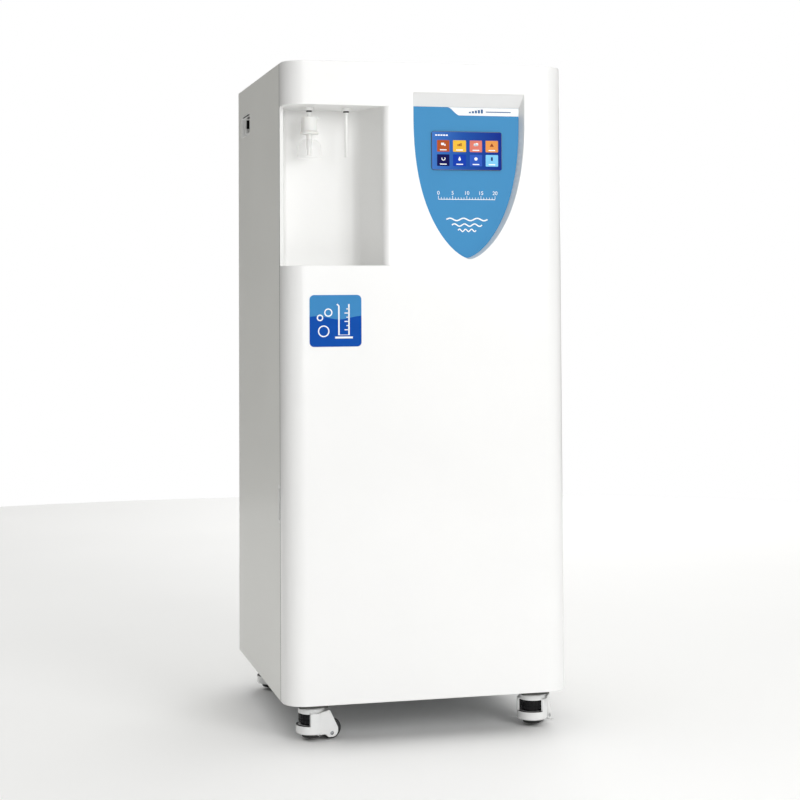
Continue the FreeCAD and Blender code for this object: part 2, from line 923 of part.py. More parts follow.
# Cabinet shell
def make_side_panel(side, label):
    """A folded sheet with a flange at the rear; side is -1 on the left and 1 on the right."""
    outer = right * side
    inner = (right - d.sheet_thickness) * side
    flange = (right - d.panel_flange) * side
    body = new_body("side_sheet")
    plan = [
        (outer, panel_front),
        (outer, panel_back),
        (flange, panel_back),
        (flange, panel_back - d.sheet_thickness),
        (inner, panel_back - d.sheet_thickness),
        (inner, panel_front),
    ]
    pad(body, "XY", plan, base, cover_under)
    low, high = (left, inner) if side < 0 else (inner, right)
    cup = rectangle(handle_front, handle_rear, handle_bottom, handle_top, d.handle_corner)
    pocket(body, "YZ", cup, low - d.overrun, high + d.overrun)
    if side < 0:
        notch = rectangle(panel_front - d.overrun, panel_front + d.pull_depth, pull_bottom, pull_top)
        pocket(body, "YZ", notch, low - d.overrun, high + d.overrun)
        return node(body, label)
    reach = d.hinge_knuckle_radius + d.hinge_notch_gap
    notches = [
        box(low - d.overrun, right + d.overrun, panel_front - d.overrun, hinge_y + reach,
            height - d.hinge_notch_gap, height + hinge_length + d.hinge_notch_gap)
        for height in hinge_heights
    ]
    return node(cut(body, *notches), label)


handle_rear = back - d.handle_back
handle_front = handle_rear - d.handle_length
handle_top = top - d.handle_drop
handle_bottom = handle_top - d.handle_height
pull_top = top - (d.pull_drop - d.pull_height)
pull_bottom = top - d.pull_drop


def sorted_pair(one, other):
    return (one, other) if number(one) < number(other) else (other, one)


def make_handle_cups():
    """Shallow dishes in both sides, each with a deeper well for the fingers."""
    cups = []
    gap = d.touch_gap / 3
    for side in (-1, 1):
        body = new_body("cup")
        outer, inner = right * side, (right - d.handle_cup) * side
        outline = rectangle(
            handle_front + gap, handle_rear - gap, handle_bottom + gap, handle_top - gap, d.handle_corner - gap)
        wall = d.handle_wall
        rim = d.handle_rim
        inset = d.handle_well_inset
        corner = d.handle_corner - rim
        dish = rectangle(
            handle_front + rim, handle_rear - rim, handle_bottom + rim, handle_top - rim, corner)
        well = rectangle(
            handle_front + inset, handle_rear - inset,
            handle_top - rim - d.handle_well_height, handle_top - rim, corner)
        sleeve = rectangle(
            handle_front + inset - wall, handle_rear - inset + wall,
            handle_top - rim - d.handle_well_height - wall, handle_top - rim + wall / 2, corner)
        dish_floor = outer - d.handle_dish * side
        dish_under = dish_floor - wall * side
        well_floor = inner + wall * side
        mouth = outer + d.overrun * side
        pad(body, "YZ", outline, *sorted_pair(outer, dish_under))
        pad(body, "YZ", sleeve, *sorted_pair(dish_floor, inner))
        pocket(body, "YZ", dish, *sorted_pair(mouth, dish_floor))
        pocket(body, "YZ", well, *sorted_pair(mouth, well_floor))
        cups.append(body)
    return node(group(*cups), "handle_cups")


def make_finger_pull():
    """A moulded insert in the left panel's front edge, scooped for a fingertip."""
    gap = d.touch_gap / 3
    body = new_body("pull")
    outline = rectangle(panel_front, panel_front + d.pull_depth - gap, pull_bottom + gap, pull_top - gap)
    pad(body, "YZ", outline, left, left + d.pull_thickness)
    scoop = rectangle(
        panel_front - d.overrun, panel_front + d.pull_depth - d.pull_corner,
        pull_bottom + d.pull_corner, pull_top - d.pull_corner)
    pocket(body, "YZ", scoop, left - d.overrun, left + d.pull_scoop)
    return node(body, "finger_pull")


def make_top_cover():
    plate = box(left, right, panel_front, back, cover_under, top)
    gap = d.touch_gap
    skirt_x = right - d.sheet_thickness - gap
    skirt_bottom = cover_under - d.cover_skirt
    skirts = []
    for side in (-1, 1):
        far, near = skirt_x * side, (skirt_x - d.sheet_thickness) * side
        x0, x1 = (far, near) if side < 0 else (near, far)
        skirts.append(box(
            x0, x1, panel_front + d.post_width, panel_back - d.sheet_thickness - gap, skirt_bottom, cover_under))
    return node(fuse(plate, *skirts), "top_cover")


rear_split = base + d.rear_split


def make_rear_panels():
    body = new_body("upper_sheet")
    pad(body, "XZ", rectangle(left, right, rear_split, cover_under), panel_back, back)
    for slot in range(5):
        z0 = cover_under - d.vent_slot_drop - d.vent_slot_pitch * slot
        outline = rectangle(-d.vent_slot_width / 2, d.vent_slot_width / 2, z0, z0 + d.vent_slot_height)
        pocket(body, "XZ", outline, panel_back - d.overrun, back + d.overrun)
    node(body, "rear_panel_upper")
    outer = back + d.rear_step
    lower = new_body("lower_sheet")
    pad(lower, "XZ", rectangle(left, right, base, rear_split), panel_back, outer)
    well_x = d.well_width / 2
    well_z0 = base + d.well_bottom
    well_z1 = well_z0 + d.well_height
    wall = d.sheet_thickness
    pad(lower, "XZ", rectangle(-well_x - wall, well_x + wall, well_z0 - wall, well_z1 + wall),
        outer - d.well_depth - wall, back)
    pocket(lower, "XZ", rectangle(-well_x, well_x, well_z0, well_z1), outer - d.well_depth, outer + d.overrun)
    inlet_hole = box(
        inlet_x - d.inlet_width / 2 + d.inlet_face, inlet_x + d.inlet_width / 2 - d.inlet_face,
        outer - d.well_depth - d.overrun, outer,
        inlet_z - d.inlet_height / 2 + d.inlet_face, inlet_z + d.inlet_height / 2 - d.inlet_face)
    port_holes = [
        rod(d.port_radius, port_x(number_of), well_face - d.overrun, port_z, d.overrun * 2, "Y")
        for number_of in range(4)
    ]
    return node(cut(lower, inlet_hole, *port_holes), "rear_panel_lower")


well_face = back + d.rear_step - d.well_depth
port_z = base + d.well_bottom + d.well_height / 2
inlet_x = d.inlet_offset
inlet_z = port_z


def port_x(index):
    return -d.port_first + d.port_pitch * index


def make_water_ports():
    """Bulkhead tube ports: a collar inside the well, a body through its wall."""
    ports = []
    for index in range(4):
        x = port_x(index)
        start = well_face - d.sheet_thickness - d.port_collar_length
        body = rod(d.port_radius - d.running_gap, x, start, port_z, d.port_collar_length + d.sheet_thickness + d.port_length, "Y")
        collar = rod(d.port_collar_radius, x, well_face, port_z, d.port_collar_length, "Y")
        nut = rod(d.port_collar_radius, x, start, port_z, d.port_collar_length, "Y")
        bore = rod(
            d.port_bore, x, start - d.overrun, port_z,
            d.port_collar_length + d.sheet_thickness + d.port_length + d.overrun * 2, "Y")
        ports.append(cut(fuse(body, collar, nut), bore))
    return node(group(*ports), "water_ports")


rocker_z = inlet_z + d.inlet_height / 4
socket_z = inlet_z - d.inlet_height / 6


def make_power_inlet():
    half_width = d.inlet_width / 2
    half_height = d.inlet_height / 2
    inset = d.inlet_face + d.touch_gap / 2
    face = box(
        inlet_x - half_width, inlet_x + half_width, well_face, well_face + d.inlet_face,
        inlet_z - half_height, inlet_z + half_height)
    shell = box(
        inlet_x - half_width + inset, inlet_x + half_width - inset,
        well_face - d.inlet_body, well_face,
        inlet_z - half_height + inset, inlet_z + half_height - inset)
    socket = box(
        inlet_x - d.inlet_socket_width / 2, inlet_x + d.inlet_socket_width / 2,
        well_face + d.inlet_face - d.inlet_socket_depth, well_face + d.inlet_face + d.overrun,
        socket_z - d.inlet_socket_height / 2, socket_z + d.inlet_socket_height / 2)
    rocker_bay = box(
        inlet_x - d.rocker_width / 2 - d.rocker_gap, inlet_x + d.rocker_width / 2 + d.rocker_gap,
        well_face + d.inlet_face - d.inlet_socket_depth, well_face + d.inlet_face + d.overrun,
        rocker_z - d.rocker_height / 2 - d.rocker_gap, rocker_z + d.rocker_height / 2 + d.rocker_gap)
    pivots = [
        rod(d.rocker_gap * 2, side_x, rocker_pivot_y, rocker_z, d.rocker_gap * 2, "X")
        for side_x in (
            inlet_x - d.rocker_width / 2 - d.rocker_gap * 2,
            inlet_x + d.rocker_width / 2)
    ]
    return node(fuse(cut(fuse(face, shell), socket, rocker_bay), *pivots), "power_inlet")


rocker_pivot_y = well_face + d.inlet_face - d.rocker_crown


def make_power_rocker():
    """A shallow V in side view, tipped about a pivot across its middle."""
    half = d.rocker_height / 2 - d.rocker_gap
    profile = [
        (d.rocker_crown, half),
        (0, 0),
        (d.rocker_crown, -half),
        (-d.rocker_depth / 2, -half),
        (-d.rocker_depth, 0),
        (-d.rocker_depth / 2, half),
    ]
    body = prism("YZ", profile, -d.rocker_width / 2 + d.rocker_gap / 2, d.rocker_width / 2 - d.rocker_gap / 2)
    place(body, inlet_x, rocker_pivot_y, rocker_z, d.rocker_tilt, X_AXIS)
    return node(body, "power_rocker")


# Frame
post_front_y = front + d.post_setback
post_rear_y = panel_back - d.sheet_thickness - d.post_rear_gap - d.post_width
post_outer = right - d.sheet_thickness - d.touch_gap
post_inner = post_outer - d.post_width
rail_bottom = cover_under - d.cover_skirt - d.touch_gap - d.post_width
rail_top = cover_under - d.cover_skirt - d.touch_gap
shelf_z = base + d.shelf_height


def mirrored(side, near, far):
    """Low and high planes of something that lies between near and far on one side."""
    return (-far, -near) if side < 0 else (near, far)


def make_frame():
    posts, rails = [], []
    for side in (-1, 1):
        x0, x1 = mirrored(side, post_inner, post_outer)
        for y0 in (post_front_y, post_rear_y):
            posts.append(box(x0, x1, y0, y0 + d.post_width, floor_of_cabinet, rail_top))
        for z0 in (shelf_z - d.post_width, rail_bottom):
            rails.append(box(x0, x1, post_front_y + d.post_width, post_rear_y, z0, z0 + d.post_width))
    for y0 in (post_front_y, post_rear_y):
        rails.append(box(-post_inner, post_inner, y0, y0 + d.post_width, rail_bottom, rail_top))
    node(group(*posts), "corner_posts")
    node(group(*rails), "frame_rails")


def make_base_pan():
    """A folded tray; its tongue reaches forward under the door to carry the front casters."""
    outer = right - d.sheet_thickness
    plate = box(-outer, outer, panel_front, panel_back - d.sheet_thickness, base, floor_of_cabinet)
    tongue = box(
        left + d.pan_front_inset, right - d.pan_front_inset, panel_front - d.pan_front_reach, panel_front,
        base, floor_of_cabinet)
    rims = []
    for side in (-1, 1):
        x0, x1 = mirrored(side, outer - d.sheet_thickness, outer)
        rims.append(box(x0, x1, post_front_y + d.post_width + d.touch_gap, post_rear_y - d.touch_gap,
                        floor_of_cabinet, floor_of_cabinet + d.pan_rim))
    return node(fuse(plate, tongue, *rims), "base_pan")


def make_shelf():
    plate = box(
        -post_outer, post_outer, post_front_y + d.post_width + d.touch_gap, post_rear_y - d.touch_gap,
        shelf_z, shelf_z + d.shelf_thickness)
    return node(plate, "component_shelf")


# Inner equipment
bracket_y = post_rear_y - d.shelf_thickness
bracket_z = base + d.bracket_bottom
shelf_top = shelf_z + d.shelf_thickness
head_z = bracket_z + d.bracket_height - d.prefilter_head_height * 2


def make_filter_bracket():
    plate = box(
        -post_outer + d.sheet_thickness, post_outer - d.sheet_thickness, bracket_y, post_rear_y,
        bracket_z, bracket_z + d.bracket_height)
    return node(plate, "filter_bracket")


def prefilter_x(index):
    return -d.prefilter_first + d.prefilter_pitch * index


def make_prefilters():
    heads, bowls = [], []
    y = bracket_y - d.prefilter_head / 2
    for index in range(3):
        x = prefilter_x(index)
        heads.append(box(
            x - d.prefilter_head / 2, x + d.prefilter_head / 2, bracket_y - d.prefilter_head, bracket_y,
            head_z, head_z + d.prefilter_head_height))
        bowl_bottom = head_z - d.prefilter_length
        radius = d.prefilter_radius
        wall = d.prefilter_wall
        bowls.append(turned([
            (0, bowl_bottom),
            (radius, bowl_bottom, d.prefilter_wall * 4),
            (radius, head_z),
            (radius - wall, head_z),
            (radius - wall, bowl_bottom + wall, d.prefilter_wall * 3),
            (0, bowl_bottom + wall),
        ], x, y))
    node(group(*heads), "prefilter_heads")
    node(group(*bowls), "prefilter_bowls")


def make_solenoid_valves():
    valves = []
    z0 = head_z + d.prefilter_head_height + d.touch_gap
    for index in range(3):
        x = prefilter_x(index)
        size = d.valve_size
        body = box(x - size / 2, x + size / 2, bracket_y - size, bracket_y, z0, z0 + size / 2)
        coil = rod(d.valve_coil_radius, x, bracket_y - size / 2, z0 + size / 2, d.valve_coil)
        valves.append(fuse(body, coil))
    return node(group(*valves), "solenoid_valves")


def make_pressure_tank():
    """A thin steel vessel with domed ends on a foot ring."""
    radius = d.tank_radius
    wall = d.tank_wall
    height = d.tank_height
    dome = d.tank_dome
    foot = d.tank_foot
    flat = radius * TANK_SHARES["dome_flat"]
    bend = dome * TANK_SHARES["dome_round"]
    shell = turned([
        (0, foot),
        (flat, foot),
        (radius, foot + dome, bend),
        (radius, height - dome, bend),
        (flat, height),
        (0, height),
        (0, height - wall),
        (flat - wall / 2, height - wall),
        (radius - wall, height - dome - wall / 2, bend - wall),
        (radius - wall, foot + dome + wall / 2, bend - wall),
        (flat - wall / 2, foot + wall),
        (0, foot + wall),
    ])
    ring_inner = radius * TANK_SHARES["foot_inner"]
    ring_outer = radius * TANK_SHARES["foot_outer"]
    ring = turned([
        (ring_inner, 0),
        (ring_outer, 0),
        (ring_outer, foot + wall / 2),
        (ring_inner, foot + wall / 2),
    ])
    neck = rod(d.port_radius, 0, 0, height - wall / 2, foot)
    whole = fuse(shell, ring, neck)
    place(whole, -post_inner + radius, (post_front_y + post_rear_y) / 2, floor_of_cabinet)
    return node(whole, "pressure_tank")


def capped_tube(radius, length, cap_radius, cap, wall, x, y, z):
    """A hollow vessel that stands on one end, with a wider cap at both."""
    return turned([
        (0, 0),
        (cap_radius, 0),
        (cap_radius, cap),
        (radius, cap),
        (radius, length - cap),
        (cap_radius, length - cap),
        (cap_radius, length),
        (0, length),
        (0, length - cap / 2),
        (radius - wall, length - cap / 2),
        (radius - wall, cap / 2),
        (0, cap / 2),
    ], x, y, z)


right_bay_x = post_inner - d.membrane_cap_radius


def make_membranes():
    vessels = [
        capped_tube(
            d.membrane_radius, d.membrane_length, d.membrane_cap_radius, d.membrane_cap, d.membrane_wall,
            right_bay_x - d.membrane_pitch * index, post_front_y + d.post_width + d.membrane_cap_radius,
            floor_of_cabinet)
        for index in range(2)
    ]
    return node(group(*vessels), "membrane_housings")


def make_booster_pump():
    """A motor lying on its feet with a square pump head in front; it fills the bay behind the membranes."""
    x = right_bay_x - d.membrane_pitch / 2
    y = post_front_y + d.post_width + d.membrane_cap_radius * 2 + d.pump_gap + d.pump_foot
    length = well_face - d.inlet_body - d.pump_rear_gap - y
    axis_z = floor_of_cabinet + d.pump_foot + d.pump_radius
    motor = rod(d.pump_radius, x, y, axis_z, length, "Y")
    hollow = rod(
        d.pump_radius - d.pump_motor_wall, x, y + d.pump_head_depth + d.pump_motor_wall, axis_z,
        length - d.pump_head_depth - d.pump_motor_wall * 2, "Y")
    half = d.pump_head / 2
    head = box(x - half, x + half, y - d.pump_foot, y + d.pump_head_depth, axis_z - half, axis_z + half)
    foot = box(
        x - half, x + half, y - d.pump_foot, y + length - d.pump_foot,
        floor_of_cabinet, floor_of_cabinet + d.pump_foot + d.pump_motor_wall)
    return node(cut(fuse(motor, head, foot), hollow), "booster_pump")


def make_polish_columns():
    wall = d.prefilter_wall
    vessels = [
        capped_tube(
            d.column_radius, d.column_length, d.column_cap_radius, d.column_cap, wall,
            -post_inner + d.column_cap_radius + d.column_pitch * index,
            post_front_y + d.post_width + d.column_cap_radius + d.touch_gap * 2, shelf_top)
        for index in range(2)
    ]
    return node(group(*vessels), "polish_columns")


def make_uv_chamber():
    x = -post_inner + d.column_cap_radius * 2 + d.column_pitch + d.uv_gap + d.uv_cap_radius
    vessel = capped_tube(
        d.uv_radius, d.uv_length, d.uv_cap_radius, d.uv_cap, d.uv_wall,
        x, post_front_y + d.post_width + d.column_cap_radius, shelf_top)
    return node(vessel, "uv_chamber")


def make_power_supply():
    x1 = post_inner
    x0 = x1 - d.supply_width
    y0 = post_front_y + d.post_width + d.post_setback / 2
    y1 = y0 + d.supply_depth
    z1 = shelf_top + d.supply_height
    wall = d.supply_wall
    case = box(x0, x1, y0, y1, shelf_top, z1)
    hollow = box(x0 + wall, x1 - wall, y0 + wall, y1 - wall, shelf_top + wall, z1 - wall)
    return node(cut(case, hollow), "power_supply")


def make_panel_screws():
    """Round-head screws that hold the rear panels to the flanges."""
    screws = []
    for side in (-1, 1):
        x = (right - d.screw_inset) * side
        lower_face = back + d.rear_step
        for z in (base + d.screw_inset * 2, rear_split - d.screw_inset * 2):
            screws.append(rod(d.screw_radius, x, lower_face, z, d.screw_head, "Y"))
        span = cover_under - rear_split
        for share in REAR_SCREW_SHARES:
            screws.append(rod(d.screw_radius, x, back, rear_split + span * share, d.screw_head, "Y"))
    return node(group(*screws), "panel_screws")


# Casters: built about their own swivel axis, wheel trailing along +X, then placed
caster_x = right - d.caster_side_inset
caster_y = back - d.caster_side_inset
CASTERS = {
    "front_left": (-caster_x, -caster_y, d.turn_front_left),
    "front_right": (caster_x, -caster_y, d.turn_front_right),
    "rear_left": (-caster_x, caster_y, d.turn_rear_left),
    "rear_right": (caster_x, caster_y, d.turn_rear_right),
}
plate_top = base - d.riser_height
plate_bottom = plate_top - d.plate_thickness


def caster_plate():
    """A slotted plate under a riser, with the race and the sleeve below it."""
    half = d.plate_size / 2
    plate = new_body("plate")
    pad(plate, "XY", rectangle(-half, half, -half, half, d.slot_radius * 2), plate_bottom, plate_top)
    for side in (-1, 1):
        for end in (-1, 1):
            middle_x, middle_y = d.slot_pitch / 2 * side, d.slot_pitch / 2 * end
            reach, across = d.slot_length / 2, d.slot_radius
            slot = rectangle(middle_x - reach, middle_x + reach, middle_y - across, middle_y + across)
            pocket(plate, "XY", slot, plate_bottom - d.overrun, plate_top + d.overrun)
    rise = d.riser_size / 2
    riser = box(-rise, rise, -rise, rise, plate_top, base)
    sleeve = turned([
        (d.sleeve_bore, d.sleeve_end),
        (d.sleeve_radius, d.sleeve_end),
        (d.sleeve_radius, d.housing_top + d.race_gap),
        (d.race_radius, d.housing_top + d.race_gap),
        (d.race_radius, plate_bottom),
        (d.sleeve_bore, plate_bottom),
    ])
    return fuse(plate, riser, sleeve)


def make_caster_plates():
    shape = caster_plate()
    plates = [place(group(shape), x, y) for x, y, turn in CASTERS.values()]
    return node(group(*plates), "caster_plates")


def caster_housing():
    """Band and cap round the swivel axis, two cheeks and the axle that carries the wheel."""
    nose = turned([
        (0, d.housing_bottom),
        (d.nose_radius, d.housing_bottom, d.nose_edge),
        (d.nose_radius, d.cheek_front_top),
        (0, d.cheek_front_top),
    ])
    cap = turned([
        (0, d.window_bottom),
        (d.cap_radius, d.window_bottom),
        (d.cap_radius, d.housing_top, d.cap_edge),
        (0, d.housing_top),
    ])
    side_view = [
        (0, d.housing_bottom),
        (0, d.cheek_front_top),
        (d.cheek_shoulder, d.cheek_top, d.cheek_shoulder_radius),
        (d.cheek_reach, d.cheek_heel_height, d.cheek_heel_radius),
        (d.cheek_reach, d.cheek_bottom, d.cheek_bottom_radius),
        (d.cheek_lobe, d.cheek_bottom, d.cheek_shoulder_radius),
        (d.cheek_throat, d.housing_bottom),
    ]
    cheeks = prism("XZ", side_view, -d.cheek_half_width, d.cheek_half_width)
    well_radius = d.wheel_radius + d.wheel_well_gap
    well_half = d.wheel_half_width + d.wheel_side_gap
    well = rod(well_radius, d.wheel_offset, -well_half, d.wheel_radius, well_half * 2, "Y")
    rear_opening = box(
        d.wheel_offset, d.cheek_reach + d.overrun, -well_half, well_half,
        d.cheek_bottom - d.overrun, d.wheel_radius + well_radius)
    bottom_opening = box(
        d.wheel_offset - well_radius, d.cheek_reach, -well_half, well_half,
        d.cheek_bottom - d.overrun, d.wheel_radius)
    adjuster_space = rod(d.adjuster_cavity, 0, 0, d.window_bottom, d.window_top - d.window_bottom)
    reach = d.nose_radius + d.overrun
    window = box(-reach, d.window_depth - d.nose_radius, -reach, reach, d.window_bottom, d.housing_top)
    upper_bore = rod(
        d.sleeve_radius + d.running_gap, 0, 0, d.window_top, d.housing_top - d.window_top + d.overrun)
    lower_bore = rod(
        d.sleeve_bore, 0, 0, d.housing_bottom - d.overrun, d.window_bottom - d.housing_bottom + d.overrun)
    axle = rod(d.axle_radius, d.wheel_offset, -d.cheek_half_width, d.wheel_radius, d.cheek_half_width * 2, "Y")
    capped = fuse(cut(fuse(nose, cheeks), window), cap)
    shell = cut(capped, well, rear_opening, bottom_opening, adjuster_space, upper_bore, lower_bore)
    return fuse(shell, axle)


adjuster_bottom = d.window_bottom + d.touch_gap
adjuster_top = d.window_top - d.touch_gap


def caster_adjuster():
    """A waisted, grooved ring that turns on the foot's stem; its lower part clears the wheel."""
    step = adjuster_bottom + d.adjuster_step_height
    waist_radius = d.adjuster_radius - d.adjuster_waist_depth
    waist_bottom = adjuster_bottom + d.adjuster_waist_height - d.adjuster_waist_width / 2
    waist_top = waist_bottom + d.adjuster_waist_width
    body = new_body("adjuster")
    revolve(body, [
        (d.stem_radius + d.running_gap, adjuster_bottom),
        (d.adjuster_step_radius, adjuster_bottom, d.adjuster_groove_width),
        (d.adjuster_step_radius, step),
        (d.adjuster_radius, step, d.adjuster_groove_width),
        (d.adjuster_radius, waist_bottom),
        (waist_radius, waist_bottom),
        (waist_radius, waist_top),
        (d.adjuster_radius, waist_top),
        (d.adjuster_radius, adjuster_top, d.adjuster_groove_width),
        (d.stem_radius + d.running_gap, adjuster_top),
    ])
    groove = rectangle(
        d.adjuster_radius - d.adjuster_groove_width, d.adjuster_radius + d.adjuster_groove_width,
        -d.adjuster_groove_width / 2, d.adjuster_groove_width / 2)
    cutter = pocket(body, "XY", groove, adjuster_bottom - d.overrun, adjuster_top + d.overrun)
    doc.recompute()
    pattern = body.newObject("PartDesign::PolarPattern", "grooves")
    pattern.Originals = [cutter]
    pattern.Axis = (cutter.Profile[0], ["N_Axis"])
    pattern.Angle = 360
    bind(pattern, "Occurrences", d.adjuster_grooves)
    body.Tip = pattern
    return body


def caster_foot():
    """A pad on a threaded stem, wound up clear of the floor."""
    pad_top = d.foot_rise + d.foot_thickness
    return turned([
        (0, d.foot_rise),
        (d.foot_radius, d.foot_rise, d.foot_edge_radius),
        (d.foot_radius, pad_top),
        (d.stem_radius, pad_top),
        (d.stem_radius, d.stem_top),
        (0, d.stem_top),
    ])


def caster_wheel():
    half = d.wheel_half_width
    tyre = new_body("wheel")
    revolve(tyre, [
        (d.wheel_bore, -half),
        (d.wheel_radius, -half, d.wheel_edge_radius),
        (d.wheel_radius, half, d.wheel_edge_radius),
        (d.wheel_bore, half),
    ])
    place(tyre, d.wheel_offset, 0, d.wheel_radius, 90, X_AXIS)
    return tyre


def make_casters():
    pieces = {
        "housing": caster_housing(),
        "adjuster": caster_adjuster(),
        "foot": caster_foot(),
        "wheel": caster_wheel(),
    }
    for corner, (x, y, turn) in CASTERS.items():
        for piece, shape in pieces.items():
            node(place(group(shape), x, y, 0, turn), f"caster_{corner}_{piece}")


make_front_door()
make_niche_liner()
make_fascia()
make_touch_display()
make_control_board()
make_label_plate()
outlet_fitting(product_x, d.outlet_stem_length, "product_outlet")
outlet_fitting(rinse_x, None, "rinse_outlet")
make_final_filter()
make_filter_bell()
make_outlet_spout()
make_hinges()
make_catch()
make_side_panel(-1, "left_side_panel")
make_side_panel(1, "right_side_panel")
make_handle_cups()
make_finger_pull()
make_top_cover()
make_rear_panels()
make_water_ports()
make_power_inlet()
make_power_rocker()
make_frame()
make_base_pan()
make_shelf()
make_filter_bracket()
make_prefilters()
make_solenoid_valves()
make_pressure_tank()
make_membranes()
make_booster_pump()
make_polish_columns()
make_uv_chamber()
make_power_supply()
make_panel_screws()
make_caster_plates()
make_casters()
doc.recompute()


def check_document():
    """Stops when any object has failed, or a sub-part has no sound solid."""
    for thing in doc.Objects:
        bad = [state for state in thing.State if state in ("Invalid", "Error")]
        if bad:
            raise RuntimeError(f"{thing.Name} ({thing.Label}) is {bad}")
    for thing in nodes:
        shape = thing.Shape
        if shape.isNull() or not shape.isValid() or not shape.Solids:
            raise RuntimeError(f"{thing.Label} has no valid solid")


check_document()
os.makedirs("parts", exist_ok=True)
for thing in nodes:
    thing.Shape.exportStep(f"parts/{thing.Label}.step")
print(len(nodes), "sub-parts written")
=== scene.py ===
import json
from math import atan2, cos, hypot, pi, radians, sin

import bmesh
import bpy
from mathutils import Matrix, Vector


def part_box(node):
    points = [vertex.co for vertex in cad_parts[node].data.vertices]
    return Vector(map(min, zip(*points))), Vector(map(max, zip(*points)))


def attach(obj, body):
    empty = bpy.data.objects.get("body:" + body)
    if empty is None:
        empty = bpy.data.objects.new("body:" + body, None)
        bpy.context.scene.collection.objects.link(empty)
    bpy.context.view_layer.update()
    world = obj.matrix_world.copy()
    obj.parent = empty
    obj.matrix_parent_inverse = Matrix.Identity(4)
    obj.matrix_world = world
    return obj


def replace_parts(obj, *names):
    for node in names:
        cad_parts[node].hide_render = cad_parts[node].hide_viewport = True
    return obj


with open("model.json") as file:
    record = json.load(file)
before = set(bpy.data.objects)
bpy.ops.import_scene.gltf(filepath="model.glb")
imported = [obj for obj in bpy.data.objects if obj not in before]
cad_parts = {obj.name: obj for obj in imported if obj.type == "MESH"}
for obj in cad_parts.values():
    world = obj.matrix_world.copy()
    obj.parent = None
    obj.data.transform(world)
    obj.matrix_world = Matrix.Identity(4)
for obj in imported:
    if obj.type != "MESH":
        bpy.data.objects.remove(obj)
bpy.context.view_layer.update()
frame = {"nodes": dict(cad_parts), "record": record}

scene = bpy.context.scene
MM = 0.001
CORNERS = ("front_left", "front_right", "rear_left", "rear_right")


# ---------------------------------------------------------------- camera and light

def basis(yaw, pitch, roll):
    """The camera's right, up and forward directions from its angles in degrees."""
    yaw, pitch, roll = radians(yaw), radians(pitch), radians(roll)
    ahead = Vector((sin(yaw) * cos(pitch), cos(yaw) * cos(pitch), sin(pitch)))
    side = Vector((cos(yaw), -sin(yaw), 0))
    over = side.cross(ahead)
    right = side * cos(roll) + over * sin(roll)
    up = over * cos(roll) - side * sin(roll)
    return right, up, ahead


# The camera fitted to the photograph: place in m, angles in degrees, lens in mm
CAMERA_PLACE = (-0.7138, -2.9294, 0.6906)
CAMERA_YAW, CAMERA_PITCH, CAMERA_ROLL = 13.918, 2.112, -0.308
SENSOR_WIDTH, LENS, SHIFT_Y, CLIP_END = 36, 79.38, -0.2091, 60

camera = bpy.data.objects.new("camera", bpy.data.cameras.new("camera"))
scene.collection.objects.link(camera)
right, up, ahead = basis(CAMERA_YAW, CAMERA_PITCH, CAMERA_ROLL)
turn = Matrix((right, up, -ahead)).transposed().to_4x4()
camera.matrix_world = Matrix.Translation(CAMERA_PLACE) @ turn
camera.data.sensor_width = SENSOR_WIDTH
camera.data.lens = LENS
camera.data.shift_y = SHIFT_Y
camera.data.clip_end = CLIP_END
scene.camera = camera
scene.view_settings.view_transform = "Standard"


def lamp(name, place, target, size, power):
    """A rectangular area light at a place, turned to a target."""
    data = bpy.data.lights.new(name, "AREA")
    data.shape = "RECTANGLE"
    data.size, data.size_y = size
    data.energy = power
    obj = bpy.data.objects.new(name, data)
    obj.location = place
    obj.rotation_euler = (Vector(target) - Vector(place)).to_track_quat("-Z", "Y").to_euler()
    scene.collection.objects.link(obj)


MIDDLE = (0, 0, 0.5)
lamp("key_light", (1.3, -3.5, 1.7), MIDDLE, (1.6, 1.8), 57)
lamp("front_fill", (-0.35, -3.7, 1.1), MIDDLE, (1.4, 1.6), 20)
lamp("top_light", (0, 2.0, 5.0), (0, 2.0, 0), (12, 12), 420)
lamp("back_light", (1.6, 3.2, 1.8), MIDDLE, (1.8, 1.8), 26)

# A faint warm ambient light; the camera itself sees plain white behind the floor
AMBIENT_COLOUR, AMBIENT_STRENGTH = (1.0, 0.99, 0.93, 1), 0.15
world = bpy.data.worlds.new("studio")
scene.world = world
world.use_nodes = True
tree = world.node_tree
ambient = tree.nodes["Background"]
ambient.inputs["Color"].default_value = AMBIENT_COLOUR
ambient.inputs["Strength"].default_value = AMBIENT_STRENGTH
seen = tree.nodes.new("ShaderNodeBackground")
seen.inputs["Color"].default_value = (1, 1, 1, 1)
seen.inputs["Strength"].default_value = 1.0
path = tree.nodes.new("ShaderNodeLightPath")
mix = tree.nodes.new("ShaderNodeMixShader")
tree.links.new(path.outputs["Is Camera Ray"], mix.inputs[0])
tree.links.new(ambient.outputs[0], mix.inputs[1])
tree.links.new(seen.outputs[0], mix.inputs[2])
tree.links.new(mix.outputs[0], tree.nodes["World Output"].inputs["Surface"])


# ---------------------------------------------------------------- materials

COAT_ROUGHNESS = 0.12
BROAD_DETAIL, FINE_DETAIL = 4.0, 3.0
COLOUR_STOPS = (0.3, 0.7)
MOTTLE_LIFT = 0.02
WEAR_FROM, WEAR_TO, WEAR_LIFT = 0.52, 0.62, 0.12
GLOSS_LOW_SHARE, GLOSS_HIGH_SHARE, GLOSS_LEAST = 0.9, 1.12, 0.02


